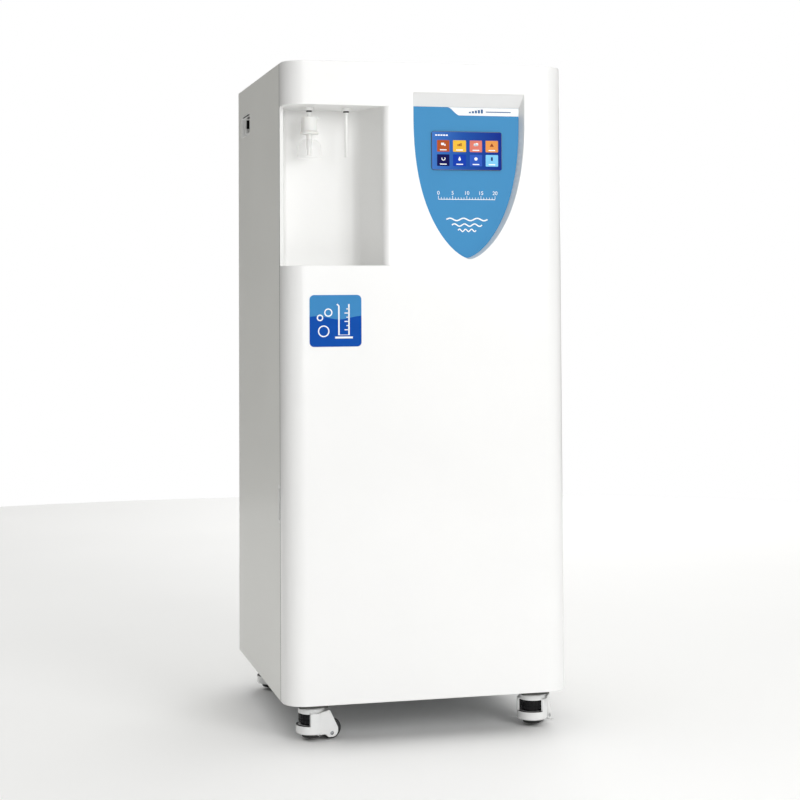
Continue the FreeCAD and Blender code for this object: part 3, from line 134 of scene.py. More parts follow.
def finish(name, colour, rough, metal=0.0, coat=0.0, mottle=0.02, spots=14.0, grain=900.0, bump=0.05,
           depth=0.0001, wear=0.0, alpha=1.0, ior=1.46, glow=0.0, sheen=0.0, stretch=(1, 1, 1),
           subsurface=0.0, specular=0.5):
    """A procedural finish: a colour that varies a little, fine grain in the surface and uneven gloss."""
    mat = bpy.data.materials.new(name)
    mat.use_nodes = True
    nodes, links = mat.node_tree.nodes, mat.node_tree.links
    shader = nodes["Principled BSDF"]
    for entry, value in (("Metallic", metal), ("Specular IOR Level", specular), ("Coat Weight", coat),
                         ("Coat Roughness", COAT_ROUGHNESS), ("IOR", ior), ("Alpha", alpha),
                         ("Sheen Weight", sheen), ("Subsurface Weight", subsurface)):
        shader.inputs[entry].default_value = value
    place = nodes.new("ShaderNodeTexCoord")
    scale = nodes.new("ShaderNodeMapping")
    scale.inputs["Scale"].default_value = stretch
    links.new(place.outputs["Object"], scale.inputs["Vector"])

    def noise(size, detail):
        tex = nodes.new("ShaderNodeTexNoise")
        tex.inputs["Scale"].default_value = size
        tex.inputs["Detail"].default_value = detail
        links.new(scale.outputs["Vector"], tex.inputs["Vector"])
        return tex

    broad, fine = noise(spots, BROAD_DETAIL), noise(grain, FINE_DETAIL)
    ramp = nodes.new("ShaderNodeValToRGB")
    low = tuple(max(0.0, c * (1 - mottle)) for c in colour)
    high = tuple(min(1.0, c * (1 + mottle) + mottle * MOTTLE_LIFT) for c in colour)
    for stop, position, shade in zip(ramp.color_ramp.elements, COLOUR_STOPS, (low, high)):
        stop.position = position
        stop.color = (*shade, 1)
    links.new(broad.outputs["Fac"], ramp.inputs["Fac"])
    tint = ramp.outputs["Color"]
    if wear:
        edge = nodes.new("ShaderNodeNewGeometry")
        pick = nodes.new("ShaderNodeMapRange")
        pick.inputs["From Min"].default_value = WEAR_FROM
        pick.inputs["From Max"].default_value = WEAR_TO
        pick.inputs["To Max"].default_value = wear
        links.new(edge.outputs["Pointiness"], pick.inputs["Value"])
        blend = nodes.new("ShaderNodeMix")
        blend.data_type = "RGBA"
        links.new(pick.outputs["Result"], blend.inputs["Factor"])
        links.new(tint, blend.inputs["A"])
        blend.inputs["B"].default_value = (*(min(1.0, c + WEAR_LIFT) for c in colour), 1)
        tint = blend.outputs["Result"]
    links.new(tint, shader.inputs["Base Color"])
    if glow:
        links.new(tint, shader.inputs["Emission Color"])
        shader.inputs["Emission Strength"].default_value = glow
    gloss = nodes.new("ShaderNodeMapRange")
    gloss.inputs["To Min"].default_value = max(GLOSS_LEAST, rough * GLOSS_LOW_SHARE)
    gloss.inputs["To Max"].default_value = min(1.0, rough * GLOSS_HIGH_SHARE)
    links.new(broad.outputs["Fac"], gloss.inputs["Value"])
    links.new(gloss.outputs["Result"], shader.inputs["Roughness"])
    relief = nodes.new("ShaderNodeBump")
    relief.inputs["Strength"].default_value = bump
    relief.inputs["Distance"].default_value = depth
    links.new(fine.outputs["Fac"], relief.inputs["Height"])
    links.new(relief.outputs["Normal"], shader.inputs["Normal"])
    return mat


white = finish("door_white", (0.9, 0.9, 0.895), 0.34, coat=0.25, mottle=0.008, spots=6, grain=1400, bump=0.04)
white_in = finish("bay_white", (0.87, 0.87, 0.86), 0.42, coat=0.15, mottle=0.01, spots=8, grain=1400,
                  bump=0.05)
# The cabinet's paint is a greyer, warmer copy of the door's white: it paints the shade on the side panels.
shaded_cabinet_paint = finish("cabinet_paint", (0.83, 0.83, 0.8), 0.46, coat=0.1, mottle=0.012, spots=5, grain=1100,
               bump=0.16, depth=0.0002)
trim = finish("white_trim", (0.88, 0.88, 0.87), 0.38, mottle=0.015, spots=30, grain=1500)
polypropylene = finish("filter_white", (0.86, 0.86, 0.84), 0.5, mottle=0.02, spots=60, grain=2500,
                       subsurface=0.05)
grey_paint = finish("frame_grey", (0.42, 0.43, 0.44), 0.5, mottle=0.03, spots=9, grain=900, bump=0.2,
                    depth=0.0002, wear=0.3)
steel = finish("brushed_steel", (0.62, 0.62, 0.61), 0.3, metal=1, mottle=0.06, spots=30, grain=700, bump=0.12,
               stretch=(1, 1, 12))
# The caster plates' steel is darkened to paint the shade under the cabinet's bottom edge.
plate_steel_painted_shade = finish("plate_steel_painted_shade", (0.1, 0.1, 0.095), 0.42, metal=0.7, mottle=0.12, spots=90, grain=900,
                     bump=0.1, specular=0.3)
chrome = finish("chrome", (0.4, 0.41, 0.43), 0.2, metal=1, mottle=0.02, spots=60, grain=900, bump=0.02)
black = finish("black_moulding", (0.018, 0.018, 0.019), 0.42, mottle=0.15, spots=60, grain=2200, bump=0.15)
gloss_black = finish("gloss_black", (0.012, 0.012, 0.014), 0.18, coat=0.4, mottle=0.1, spots=50, grain=900,
                     bump=0.02)
ring_black = finish("adjuster_black", (0.006, 0.006, 0.007), 0.22, mottle=0.1, spots=50, grain=900, bump=0.02,
                    specular=0.22)
# The bezel's white is a darker copy of the door's white: it paints the shade on the recess's downward bevel.
bezel_white_painted_shade = finish("bezel_white_painted_shade", (0.8, 0.8, 0.795), 0.38, coat=0.15, mottle=0.008, spots=6, grain=1400,
                     bump=0.04)
rubber = finish("black_rubber", (0.014, 0.014, 0.014), 0.62, mottle=0.25, spots=120, grain=2600, bump=0.3,
                sheen=0.1)
caster_white = finish("caster_nylon", (0.86, 0.865, 0.86), 0.2, coat=0.5, mottle=0.012, spots=40, grain=900,
                      bump=0.02)
clear = finish("clear_bell", (0.97, 0.975, 0.97), 0.08, mottle=0.004, spots=40, grain=700, bump=0.03,
               alpha=0.13, ior=1.4)
blue = finish("fascia_blue", (0.052, 0.268, 0.535), 0.5, mottle=0.02, spots=9, grain=2600, bump=0.03,
              specular=0.2)
ink = finish("white_ink", (0.9, 0.92, 0.93), 0.45, mottle=0.01, spots=60, grain=2600)
board = finish("circuit_green", (0.02, 0.16, 0.07), 0.45, mottle=0.15, spots=80, grain=1500, bump=0.2)
bowl = finish("bowl_polymer", (0.72, 0.78, 0.82), 0.25, mottle=0.02, spots=20, grain=900, subsurface=0.1)
port = finish("port_acetal", (0.72, 0.72, 0.7), 0.42, mottle=0.02, spots=60, grain=1800)
tank = finish("tank_enamel", (0.8, 0.81, 0.81), 0.3, coat=0.3, mottle=0.015, spots=8, grain=600, bump=0.1,
              depth=0.0002)
cast = finish("cast_aluminium", (0.36, 0.37, 0.38), 0.5, metal=0.85, mottle=0.1, spots=70, grain=1600,
              bump=0.5, depth=0.0003)
supply = finish("plain_sheet", (0.55, 0.56, 0.56), 0.4, metal=0.9, mottle=0.05, spots=20, grain=700, bump=0.1,
                stretch=(12, 1, 1))
column = finish("column_polymer", (0.74, 0.77, 0.8), 0.45, mottle=0.02, spots=20, grain=1400)
valve = finish("valve_black", (0.03, 0.03, 0.033), 0.45, mottle=0.1, spots=60, grain=1600, bump=0.15)
floor_mat = finish("pale_floor", (0.97, 0.97, 0.965), 0.7, mottle=0.006, spots=2, grain=200, bump=0.02,
                   specular=0.2)
# Flat black for the sheets that paint shade in the handle wells.
shade_black = finish("painted_shade_black", (0.006, 0.006, 0.006), 0.7, mottle=0.2, spots=60, grain=900, bump=0.05,
                    specular=0.1)


# ---------------------------------------------------------------- shapes

EDGE_ANGLE, BEVEL_SEGMENTS = 32, 2
WELD, TINY_EDGE, FLAT_ANGLE = 2e-6, 1e-6, 0.4


def settle(obj, body, mat):
    """Puts a new piece on its body with its finish."""
    if obj.name not in scene.collection.objects:
        scene.collection.objects.link(obj)
    obj.data.materials.clear()
    obj.data.materials.append(mat)
    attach(obj, body)
    return obj


def smooth(obj, angle=EDGE_ANGLE):
    """Smooth shading with sharp edges above an angle."""
    obj.data.shade_smooth()
    obj.data.set_sharp_from_angle(angle=radians(angle))


def soften(obj, width, angle=EDGE_ANGLE):
    """A narrow bevel on the sharp edges."""
    mod = obj.modifiers.new("edges", "BEVEL")
    mod.width = width
    mod.segments = BEVEL_SEGMENTS
    mod.limit_method = "ANGLE"
    mod.angle_limit = radians(angle)
    mod.use_clamp_overlap = False
    mod.harden_normals = True


record = frame["record"]
body_of = {n: b for b, members in record["behaviour"]["bodies"].items() for n in members}


def piece(name, bm, body, mat):
    """A new piece from a bmesh, which it frees."""
    bmesh.ops.recalc_face_normals(bm, faces=bm.faces)
    mesh = bpy.data.meshes.new(name)
    bm.to_mesh(mesh)
    bm.free()
    return settle(bpy.data.objects.new(name, mesh), body, mat)


def dress(node, mat, edge):
    """A copy of a solid with softened edges and an even gloss, in place of its plain solid."""
    mesh = frame["nodes"][node].data.copy()
    bm = bmesh.new()
    bm.from_mesh(mesh)
    bmesh.ops.remove_doubles(bm, verts=bm.verts, dist=WELD)
    bmesh.ops.dissolve_degenerate(bm, dist=TINY_EDGE, edges=bm.edges)
    bmesh.ops.dissolve_limit(bm, angle_limit=radians(FLAT_ANGLE), verts=bm.verts, edges=bm.edges)
    bm.to_mesh(mesh)
    bm.free()
    obj = bpy.data.objects.new(node + "_finished", mesh)
    settle(obj, body_of[node], mat)
    smooth(obj)
    soften(obj, edge * MM)
    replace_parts(obj, node)


def arc(cx, cz, r, a0, a1, steps=6):
    """Points of an arc round a centre, from one angle to another in degrees."""
    angles = [radians(a0 + (a1 - a0) * i / steps) for i in range(steps + 1)]
    return [(cx + r * cos(a), cz + r * sin(a)) for a in angles]


def rounded(x0, z0, x1, z1, r, steps=6):
    """The outline of a rectangle with rounded corners."""
    centres = ((x1 - r, z1 - r), (x0 + r, z1 - r), (x0 + r, z0 + r), (x1 - r, z0 + r))
    return [point for quarter, (cx, cz) in enumerate(centres)
            for point in arc(cx, cz, r, 90 * quarter, 90 * quarter + 90, steps)]


def bridge(bm, one, other, steps):
    """Faces between two rings of corners, either of which may be a single point."""
    for i in range(steps):
        j = (i + 1) % steps
        corners = (one[i % len(one)], one[j % len(one)], other[j % len(other)], other[i % len(other)])
        face = list(dict.fromkeys(corners))
        if len(face) > 2:
            bm.faces.new(face)


def turned(bm, profile, place, steps):
    """A closed profile of (radius, height) in mm, turned round the upright axis of a place."""
    rings = []
    for r, z in profile:
        angles = [2 * pi * i / steps for i in range(steps if r else 1)]
        rings.append([bm.verts.new(place @ (Vector((r * cos(a), r * sin(a), z)) * MM)) for a in angles])
    for one, other in zip(rings, rings[1:] + rings[:1]):
        bridge(bm, one, other, steps)


def plates(name, outlines, span, mat, body="door"):
    """Thin plates with upright outlines (x, z) in mm, over a span of y in mm."""
    bm = bmesh.new()
    for outline in outlines:
        near, far = [[bm.verts.new((x * MM, y * MM, z * MM)) for x, z in outline] for y in span]
        bm.faces.new(near)
        bm.faces.new(far[::-1])
        bridge(bm, far, near, len(outline))
    return piece(name, bm, body, mat)


def stroke(points, width):
    """The outline of a band of even width along a line of points."""
    left, right = [], []
    for i, (x, z) in enumerate(points):
        x0, z0 = points[max(i - 1, 0)]
        x1, z1 = points[min(i + 1, len(points) - 1)]
        length = hypot(x1 - x0, z1 - z0) or 1
        nx, nz = -(z1 - z0) / length, (x1 - x0) / length
        left.append((x + nx * width / 2, z + nz * width / 2))
        right.append((x - nx * width / 2, z - nz * width / 2))
    return left + right[::-1]


def lathe(name, profile, centre, mat, steps=96, angle=40):
    """A turned piece on the door, round an upright axis through its centre."""
    bm = bmesh.new()
    turned(bm, profile, Matrix.Translation((centre[0] * MM, centre[1] * MM, 0)), steps)
    obj = piece(name, bm, "door", mat)
    smooth(obj, angle)
    return obj


# ---------------------------------------------------------------- floor

FLOOR_RADIUS, FLOOR_DROP = 3.2, 0.0002
bm = bmesh.new()
bmesh.ops.create_circle(bm, cap_ends=True, segments=96, radius=FLOOR_RADIUS)
mesh = bpy.data.meshes.new("floor")
bm.to_mesh(mesh)
bm.free()
floor = bpy.data.objects.new("floor", mesh)
floor.location.z = -FLOOR_DROP
scene.collection.objects.link(floor)
floor.data.materials.append(floor_mat)


# ---------------------------------------------------------------- the solids' finishes

# Each solid's finish, and the width in mm of the bevel on its edges
finishes = {
    "base_pan": (grey_paint, 0.4), "corner_posts": (grey_paint, 0.4), "frame_rails": (grey_paint, 0.4),
    "component_shelf": (grey_paint, 0.4), "filter_bracket": (grey_paint, 0.4),
    "left_side_panel": (shaded_cabinet_paint, 0.4), "right_side_panel": (shaded_cabinet_paint, 0.4), "top_cover": (shaded_cabinet_paint, 0.4),
    "rear_panel_upper": (shaded_cabinet_paint, 0.3), "rear_panel_lower": (shaded_cabinet_paint, 0.4),
    "handle_cups": (trim, 0.4), "finger_pull": (trim, 0.5),
    "front_door": (white, 0.7), "niche_liner": (white_in, 0.6), "fascia_bezel": (bezel_white_painted_shade, 0.5),
    "control_fascia": (blue, 0.25), "touch_display": (gloss_black, 0.5), "control_board": (board, 0.2),
    "door_hinges": (steel, 0.3), "frame_hinges": (steel, 0.3), "hinge_pins": (steel, 0.2),
    "strike_plate": (steel, 0.2), "magnet_catch": (black, 0.3), "product_outlet": (trim, 0.3),
    "rinse_outlet": (trim, 0.3), "outlet_spout": (trim, 0.2), "water_ports": (port, 0.3),
    "power_inlet": (black, 0.3), "power_rocker": (gloss_black, 0.3),
    "prefilter_heads": (black, 0.5), "prefilter_bowls": (bowl, 0.5), "membrane_housings": (trim, 0.5),
    "booster_pump": (cast, 0.4), "pressure_tank": (tank, 0.5), "polish_columns": (column, 0.4),
    "uv_chamber": (steel, 0.4), "power_supply": (supply, 0.3), "solenoid_valves": (valve, 0.3),
    "panel_screws": (steel, 0.15), "caster_plates": (plate_steel_painted_shade, 0.3)}
for corner in CORNERS:
    finishes[f"caster_{corner}_housing"] = (caster_white, 0.6)
    finishes[f"caster_{corner}_adjuster"] = (ring_black, 0.2)
    finishes[f"caster_{corner}_foot"] = (rubber, 0.3)
    finishes[f"caster_{corner}_wheel"] = (gloss_black, 0.5)
for node, (mat, edge) in finishes.items():
    dress(node, mat, edge)


# ---------------------------------------------------------------- outlets in the bay

def axis_of(node):
    """The upright axis of a turned solid, in mm."""
    low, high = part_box(node)
    return (low.x + high.x) / 2 / MM, (low.y + high.y) / 2 / MM


SEAL_HEIGHT, SEAL_RADIUS, SEAL_BORE, SEAL_ROUND, SEAL_LIFT = 3.0, 4.6, 3.3, 0.7, 0.75
CAP_HEIGHT, NUT_HEIGHT, ROOF_WALL = 5.0, 6.0, 3.0
NECK, FLANGE = 7.0, 5.5
rinse_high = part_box("rinse_outlet")[1]
filter_low, filter_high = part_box("final_filter")
bell_low, bell_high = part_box("filter_bell")
FILTER_TOP, NOZZLE_END = filter_high.z / MM, filter_low.z / MM
BELL_TOP, BELL_RIM = bell_high.z / MM, bell_low.z / MM
FLANGE_BOTTOM = BELL_TOP + NECK
bay_roof = rinse_high.z / MM - NUT_HEIGHT - ROOF_WALL
SEAL_BOTTOM = bay_roof - CAP_HEIGHT - SEAL_HEIGHT
AXIS = axis_of("filter_bell")

# A dark seal ring under the cap of each outlet
seal_round = SEAL_RADIUS - SEAL_ROUND
low_arc = arc(seal_round, SEAL_BOTTOM + SEAL_LIFT, SEAL_ROUND, -90, 0)
high_arc = arc(seal_round, SEAL_BOTTOM + SEAL_HEIGHT - SEAL_LIFT, SEAL_ROUND, 0, 90)
ring = [(SEAL_BORE, SEAL_BOTTOM), *low_arc, *high_arc, (SEAL_BORE, SEAL_BOTTOM + SEAL_HEIGHT)]
for outlet in ("product_outlet", "rinse_outlet"):
    lathe(outlet + "_seal", ring, axis_of(outlet), gloss_black, 48)

# The filter, as (radius, height) in mm: nozzle, neck, flange and rounded top
filter_profile = [
    (0, NOZZLE_END), (1.6, NOZZLE_END), (3.0, NOZZLE_END), (3.4, NOZZLE_END + 0.5), (3.4, NOZZLE_END + 8),
    (4.8, NOZZLE_END + 11), (4.8, BELL_TOP - 1.2), (4.6, BELL_TOP - 1.2),
    (4.6, FLANGE_BOTTOM), (12.6, FLANGE_BOTTOM), *arc(13.4, FLANGE_BOTTOM + 1.6, 1.6, -90, 0, 5),
    *arc(13.6, FLANGE_BOTTOM + 2.8, 1.4, 0, 80, 5), (12.7, FLANGE_BOTTOM + FLANGE),
    (12.5, FILTER_TOP - 2.6), *arc(9.9, FILTER_TOP - 2.6, 2.6, 0, 90, 8), (3.9, FILTER_TOP), (0, FILTER_TOP)]
final_filter = lathe("final_filter_body", filter_profile, AXIS, polypropylene)
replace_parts(final_filter, "final_filter")
bead_profile = [(12.4, FILTER_TOP - 6.4), (12.8, FILTER_TOP - 6.1), (12.8, FILTER_TOP - 5.3),
                (12.4, FILTER_TOP - 5)]
lathe("filter_weld_bead", bead_profile, AXIS, polypropylene)

# The vent nub on the side of the filter, tipped up a little
NUB_ROOT, NUB_TIP, NUB_LENGTH, NUB_EDGE, NUB_TILT = 2.1, 1.7, 5.6, 0.5, 78
NUB_REACH, NUB_DROP = 13.4, 2.4
bm = bmesh.new()
bmesh.ops.create_cone(bm, cap_ends=True, segments=32, radius1=NUB_ROOT * MM, radius2=NUB_TIP * MM,
                      depth=NUB_LENGTH * MM)
rims = [e for e in bm.edges if len(e.link_faces) == 2 and any(len(f.verts) > 4 for f in e.link_faces)]
bmesh.ops.bevel(bm, geom=rims, offset=NUB_EDGE * MM, segments=3, profile=0.5, affect="EDGES")
nub_place = Matrix.Translation(((AXIS[0] + NUB_REACH) * MM, AXIS[1] * MM, (FILTER_TOP - NUB_DROP) * MM))
bm.transform(nub_place @ Matrix.Rotation(radians(NUB_TILT), 4, "Y"))
smooth(piece("filter_vent_nub", bm, "door", polypropylene), 40)

# The clear bell round the nozzle
BELL_RADIUS, BELL_NECK, BELL_SHOULDER, BELL_FULLNESS = 20.0, 5.6, 17.0, 0.92


def dome(inset, drop):
    """The bell's rounded shoulder, from the neck out to the skirt."""
    width, height = BELL_RADIUS - inset - BELL_NECK, BELL_SHOULDER - drop
    angles = [radians(9 * i) for i in range(1, 11)]
    return [(BELL_NECK + width * sin(a) ** BELL_FULLNESS,
             BELL_TOP - drop - height * (1 - cos(a))) for a in angles]


bell_profile = [
    (4.95, BELL_TOP), (BELL_NECK, BELL_TOP), *dome(0, 0.4), (BELL_RADIUS, BELL_RIM + 1.0), (19.6, BELL_RIM),
    (19.0, BELL_RIM), (18.9, BELL_RIM + 1.0), *dome(1.1, 1.6)[::-1], (5.4, BELL_TOP - 1.6),
    (4.95, BELL_TOP - 1.4)]
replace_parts(lathe("filter_bell_clear", bell_profile, AXIS, clear, angle=50), "filter_bell")


# ---------------------------------------------------------------- fascia, display and label

PRINT_SPECULAR = 0.04


def print_colour(name, colour, rough=0.5, glow=0.0):
    """A printed colour: even, nearly matt and with hardly any grain."""
    return finish(name, colour, rough, spots=60, grain=2600, bump=0.02, glow=glow, specular=PRINT_SPECULAR)


fascia_low, fascia_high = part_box("control_fascia")
FACE = fascia_low.y / MM
FASCIA_X = (fascia_low.x + fascia_high.x) / 2 / MM
FASCIA_TOP, FASCIA_RIGHT = fascia_high.z / MM, fascia_high.x / MM
PRINT_Y = (FACE - 0.2, FACE + 0.05)

# The white tab along the fascia's top edge, with level bars on it
TAB_DROP, TAB_START, TAB_SLOPE, TAB_INSET, TAB_STEPS = 12.8, -31.2, 20.0, 0.2, 14
tab_left, tab_top = FASCIA_X + TAB_START, FASCIA_TOP - TAB_INSET
tab = [(tab_left, tab_top)]
for i in range(1, TAB_STEPS + 1):
    t = i / TAB_STEPS
    tab.append((tab_left + TAB_SLOPE * t, tab_top - TAB_DROP * (3 * t * t - 2 * t * t * t)))
tab += [(FASCIA_RIGHT - TAB_INSET, tab_top - TAB_DROP), (FASCIA_RIGHT - TAB_INSET, tab_top)]
plates("fascia_tab", [tab], (FACE - 0.25, FACE + 0.05), ink)
level_blue = print_colour("print_deep_blue", (0.03, 0.12, 0.3))
BAR_X, BAR_Z = FASCIA_X + 4.4, FASCIA_TOP - 9.1
BAR_PITCH, BAR_WIDTH, BAR_LEAST = 5, 3.2, 2.2
bars = []
for i in range(5):
    x = BAR_X + BAR_PITCH * i
    bars.append(rounded(x, BAR_Z, x + BAR_WIDTH, BAR_Z + BAR_LEAST + i, 0.5, 3))
bars.append(rounded(BAR_X + 28, BAR_Z + 1.6, BAR_X + 70, BAR_Z + 3.0, 0.7, 3))
plates("fascia_tab_bars", bars, (FACE - 0.4, FACE - 0.2), level_blue)

screen_low, screen_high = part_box("touch_display")
SX0, SX1 = screen_low.x / MM, screen_high.x / MM
SZ0, SZ1 = screen_low.z / MM, screen_high.z / MM
SCREEN = screen_low.y / MM
TILE_Y, SIGN_Y = (SCREEN - 0.22, SCREEN - 0.05), (SCREEN - 0.3, SCREEN - 0.15)
SCREEN_INSET, SCREEN_CORNER = 0.8, 2.0

# The screen's blue, which deepens from left to right
screen_mat = finish("display_screen", (0.02, 0.09, 0.45), 0.3, mottle=0.1, spots=3, grain=900, bump=0.0,
                    glow=0.06, specular=PRINT_SPECULAR)
nodes, links = screen_mat.node_tree.nodes, screen_mat.node_tree.links
ramp = nodes["Color Ramp"]
position = nodes.new("ShaderNodeSeparateXYZ")
spread = nodes.new("ShaderNodeMapRange")
spread.inputs["From Min"].default_value = SX0 * MM
spread.inputs["From Max"].default_value = SX1 * MM
links.new(nodes["Texture Coordinate"].outputs["Object"], position.inputs["Vector"])
links.new(position.outputs["X"], spread.inputs["Value"])
links.new(spread.outputs["Result"], ramp.inputs["Fac"])
stops = ramp.color_ramp.elements
stops[0].position, stops[0].color = 0.0, (0.045, 0.17, 0.52, 1)
stops[1].position, stops[1].color = 1.0, (0.002, 0.02, 0.24, 1)
stops.new(0.45).color = (0.01, 0.075, 0.36, 1)
screen = rounded(SX0 + SCREEN_INSET, SZ0 + SCREEN_INSET, SX1 - SCREEN_INSET, SZ1 - SCREEN_INSET,
                 SCREEN_CORNER)
plates("display_screen", [screen], (SCREEN - 0.12, SCREEN + 0.3), screen_mat)

# Two rows of four tiles, each with a plain sign and a caption bar
TILE_REACHES = ((-49.4, -29.0), (-23.0, -1.4), (4.8, 25.2), (31.2, 52.0))
TILE_DROPS, TILE_HEIGHT = (14.1, 36.9), 18.6
TILE_X = [(FASCIA_X + x0, FASCIA_X + x1) for x0, x1 in TILE_REACHES]
TILE_Z = [(SZ1 - drop - TILE_HEIGHT, SZ1 - drop) for drop in TILE_DROPS]
tile_colours = (
    ("rust", (0.44, 0.085, 0.02)), ("yellow", (0.84, 0.5, 0.05)), ("salmon", (0.72, 0.2, 0.15)),
    ("orange", (0.78, 0.31, 0.08)), ("navy", (0.004, 0.005, 0.08)), ("blue", (0.006, 0.045, 0.4)),
    ("mid_blue", (0.03, 0.1, 0.5)), ("light_cyan", (0.22, 0.58, 0.87)))
glyph_mat = print_colour("glyph_white", (0.9, 0.92, 0.95), 0.5, 0.1)
dark_glyph = print_colour("glyph_dark", (0.3, 0.05, 0.02))
navy_glyph = print_colour("glyph_navy", (0.01, 0.03, 0.16))


def circle(cx, cz, r, steps=24):
    """The outline of a disc."""
    return arc(cx, cz, r, 0, 360, steps)[:-1]


def water_drop(cx, cz, r):
    """The outline of a drop: an arc from -200 to 20 degrees and a tip above it."""
    return arc(cx, cz, r, -200, 20, 22) + [(cx, cz + r * 2.3)]


def glyph(kind, cx, cz):
    """A plain sign for each tile, in mm round its middle: can, bars, cloud, peak, hook, drop, nut, column."""
    return (
        [rounded(cx - 3.6, cz - 0.4, cx + 1.4, cz + 3.4, 0.6, 3),
         rounded(cx + 1.9, cz - 1.6, cx + 3.8, cz + 1.6, 0.5, 3)],
        [rounded(cx - 3.4 + 2.5 * i, cz - 1.6, cx - 1.6 + 2.5 * i, cz + 1.2 + i, 0.3, 2) for i in range(3)],
        [circle(cx - 1.6, cz + 1.0, 2.0), circle(cx + 1.6, cz + 1.4, 2.4),
         rounded(cx - 3.6, cz - 1.2, cx + 3.8, cz + 0.9, 0.9, 3)],
        [[(cx, cz + 3.6), (cx - 3.4, cz - 1.8), (cx + 3.4, cz - 1.8)]],
        [stroke(arc(cx + 0.3, cz + 1.0, 2.6, 150, 400, 24), 1.3)],
        [water_drop(cx, cz - 0.1, 2.1)],
        [circle(cx, cz + 1.0, 2.8, 8)],
        [rounded(cx - 1.5, cz - 1.8, cx + 1.5, cz + 4.2, 0.9, 3)])[kind]


SIGN_LIFT, CAPTION_REACH, CAPTION_Z = 1.6, 5.6, (2.2, 3.8)
sign_mats = {1: dark_glyph, 3: dark_glyph, 7: navy_glyph}
for kind, (tone, colour) in enumerate(tile_colours):
    (z0, z1), (x0, x1) = TILE_Z[kind // 4], TILE_X[kind % 4]
    cx, cz = (x0 + x1) / 2, (z0 + z1) / 2 + SIGN_LIFT
    caption = rounded(cx - CAPTION_REACH, z0 + CAPTION_Z[0], cx + CAPTION_REACH, z0 + CAPTION_Z[1], 0.5, 3)
    for part, outlines, span, mat in (
            ("tile", [rounded(x0, z0, x1, z1, 1.0, 4)], TILE_Y,
             print_colour("tile_" + tone, colour, 0.4, 0.05)),
            ("sign", glyph(kind, cx, cz), SIGN_Y, sign_mats.get(kind, glyph_mat)),
            ("caption", [caption], SIGN_Y, glyph_mat)):
        plates(f"display_{part}_{tone}", outlines, span, mat)
HEADER_START, HEADER_WIDTH, HEADER_PITCH, HEADER_DROPS = 6, 3.4, 4.4, (7.4, 5.2)
header = []
for i in range(5):
    x = SX0 + HEADER_START + HEADER_PITCH * i
    header.append(rounded(x, SZ1 - HEADER_DROPS[0], x + HEADER_WIDTH, SZ1 - HEADER_DROPS[1], 0.5, 3))
plates("display_header", header, TILE_Y, glyph_mat)


def number(text, cx, z, size, name):
    """A number as a thin raised print, with its size and place in mm."""
    curve = bpy.data.curves.new(name, "FONT")
    curve.body = text
    curve.size = size * MM
    curve.align_x = "CENTER"
    curve.extrude = 0.1 * MM
    obj = bpy.data.objects.new(name, curve)
    upright = Matrix.Rotation(radians(90), 4, "X")
    obj.matrix_world = Matrix.Translation((cx * MM, (FACE - 0.1) * MM, z * MM)) @ upright
    scene.collection.objects.link(obj)
    bpy.context.view_layer.update()
    mesh = bpy.data.meshes.new_from_object(obj.evaluated_get(bpy.context.evaluated_depsgraph_get()))
    mesh.transform(obj.matrix_world)
    bpy.data.objects.remove(obj)
    bm = bmesh.new()
    bm.from_mesh(mesh)
    bpy.data.meshes.remove(mesh)
    bmesh.ops.remove_doubles(bm, verts=bm.verts, dist=1e-7)
    piece(name, bm, "door", ink)


# A plain scale below the display, and three waves below it
SCALE_HALF, SCALE_DROP, SCALE_STEPS, SCALE_LONG = 47, 147.5, 20, 5
LINE_HALF, TICK_HALF, TICK_LENGTHS, NUMBER_LIFT, NUMBER_SIZE = 0.5, 0.35, (3.2, 5.6), 7.4, 8.5
scale_x, scale_z = FASCIA_X - SCALE_HALF, FASCIA_TOP - SCALE_DROP
ticks = [rounded(scale_x, scale_z - LINE_HALF, scale_x + 2 * SCALE_HALF, scale_z + LINE_HALF, 0.3, 2)]
for i in range(SCALE_STEPS + 1):
    x = scale_x + 2 * SCALE_HALF * i / SCALE_STEPS
    ticks.append(rounded(x - TICK_HALF, scale_z + 0.4, x + TICK_HALF,
                         scale_z + TICK_LENGTHS[i % SCALE_LONG == 0], 0.2, 2))
plates("fascia_scale", ticks, PRINT_Y, ink)
for i in range(0, SCALE_STEPS + 1, SCALE_LONG):
    x = scale_x + 2 * SCALE_HALF * i / SCALE_STEPS
    number(str(i), x, scale_z + NUMBER_LIFT, NUMBER_SIZE, f"fascia_scale_{i}")
WAVE_SWELL, WAVE_SPAN, WAVE_STEPS = 1.9, 16, 24
waves = []
for half, drop, width in ((34, 179.5, 2.2), (25, 188.5, 2.0), (15, 196.9, 1.8)):
    line = [(FASCIA_X + half * (t / WAVE_STEPS - 1),
             FASCIA_TOP - drop + WAVE_SWELL * sin(2 * pi * t / WAVE_SPAN)) for t in range(2 * WAVE_STEPS + 1)]
    waves.append(stroke(line, width))
plates("fascia_waves", waves, PRINT_Y, ink)

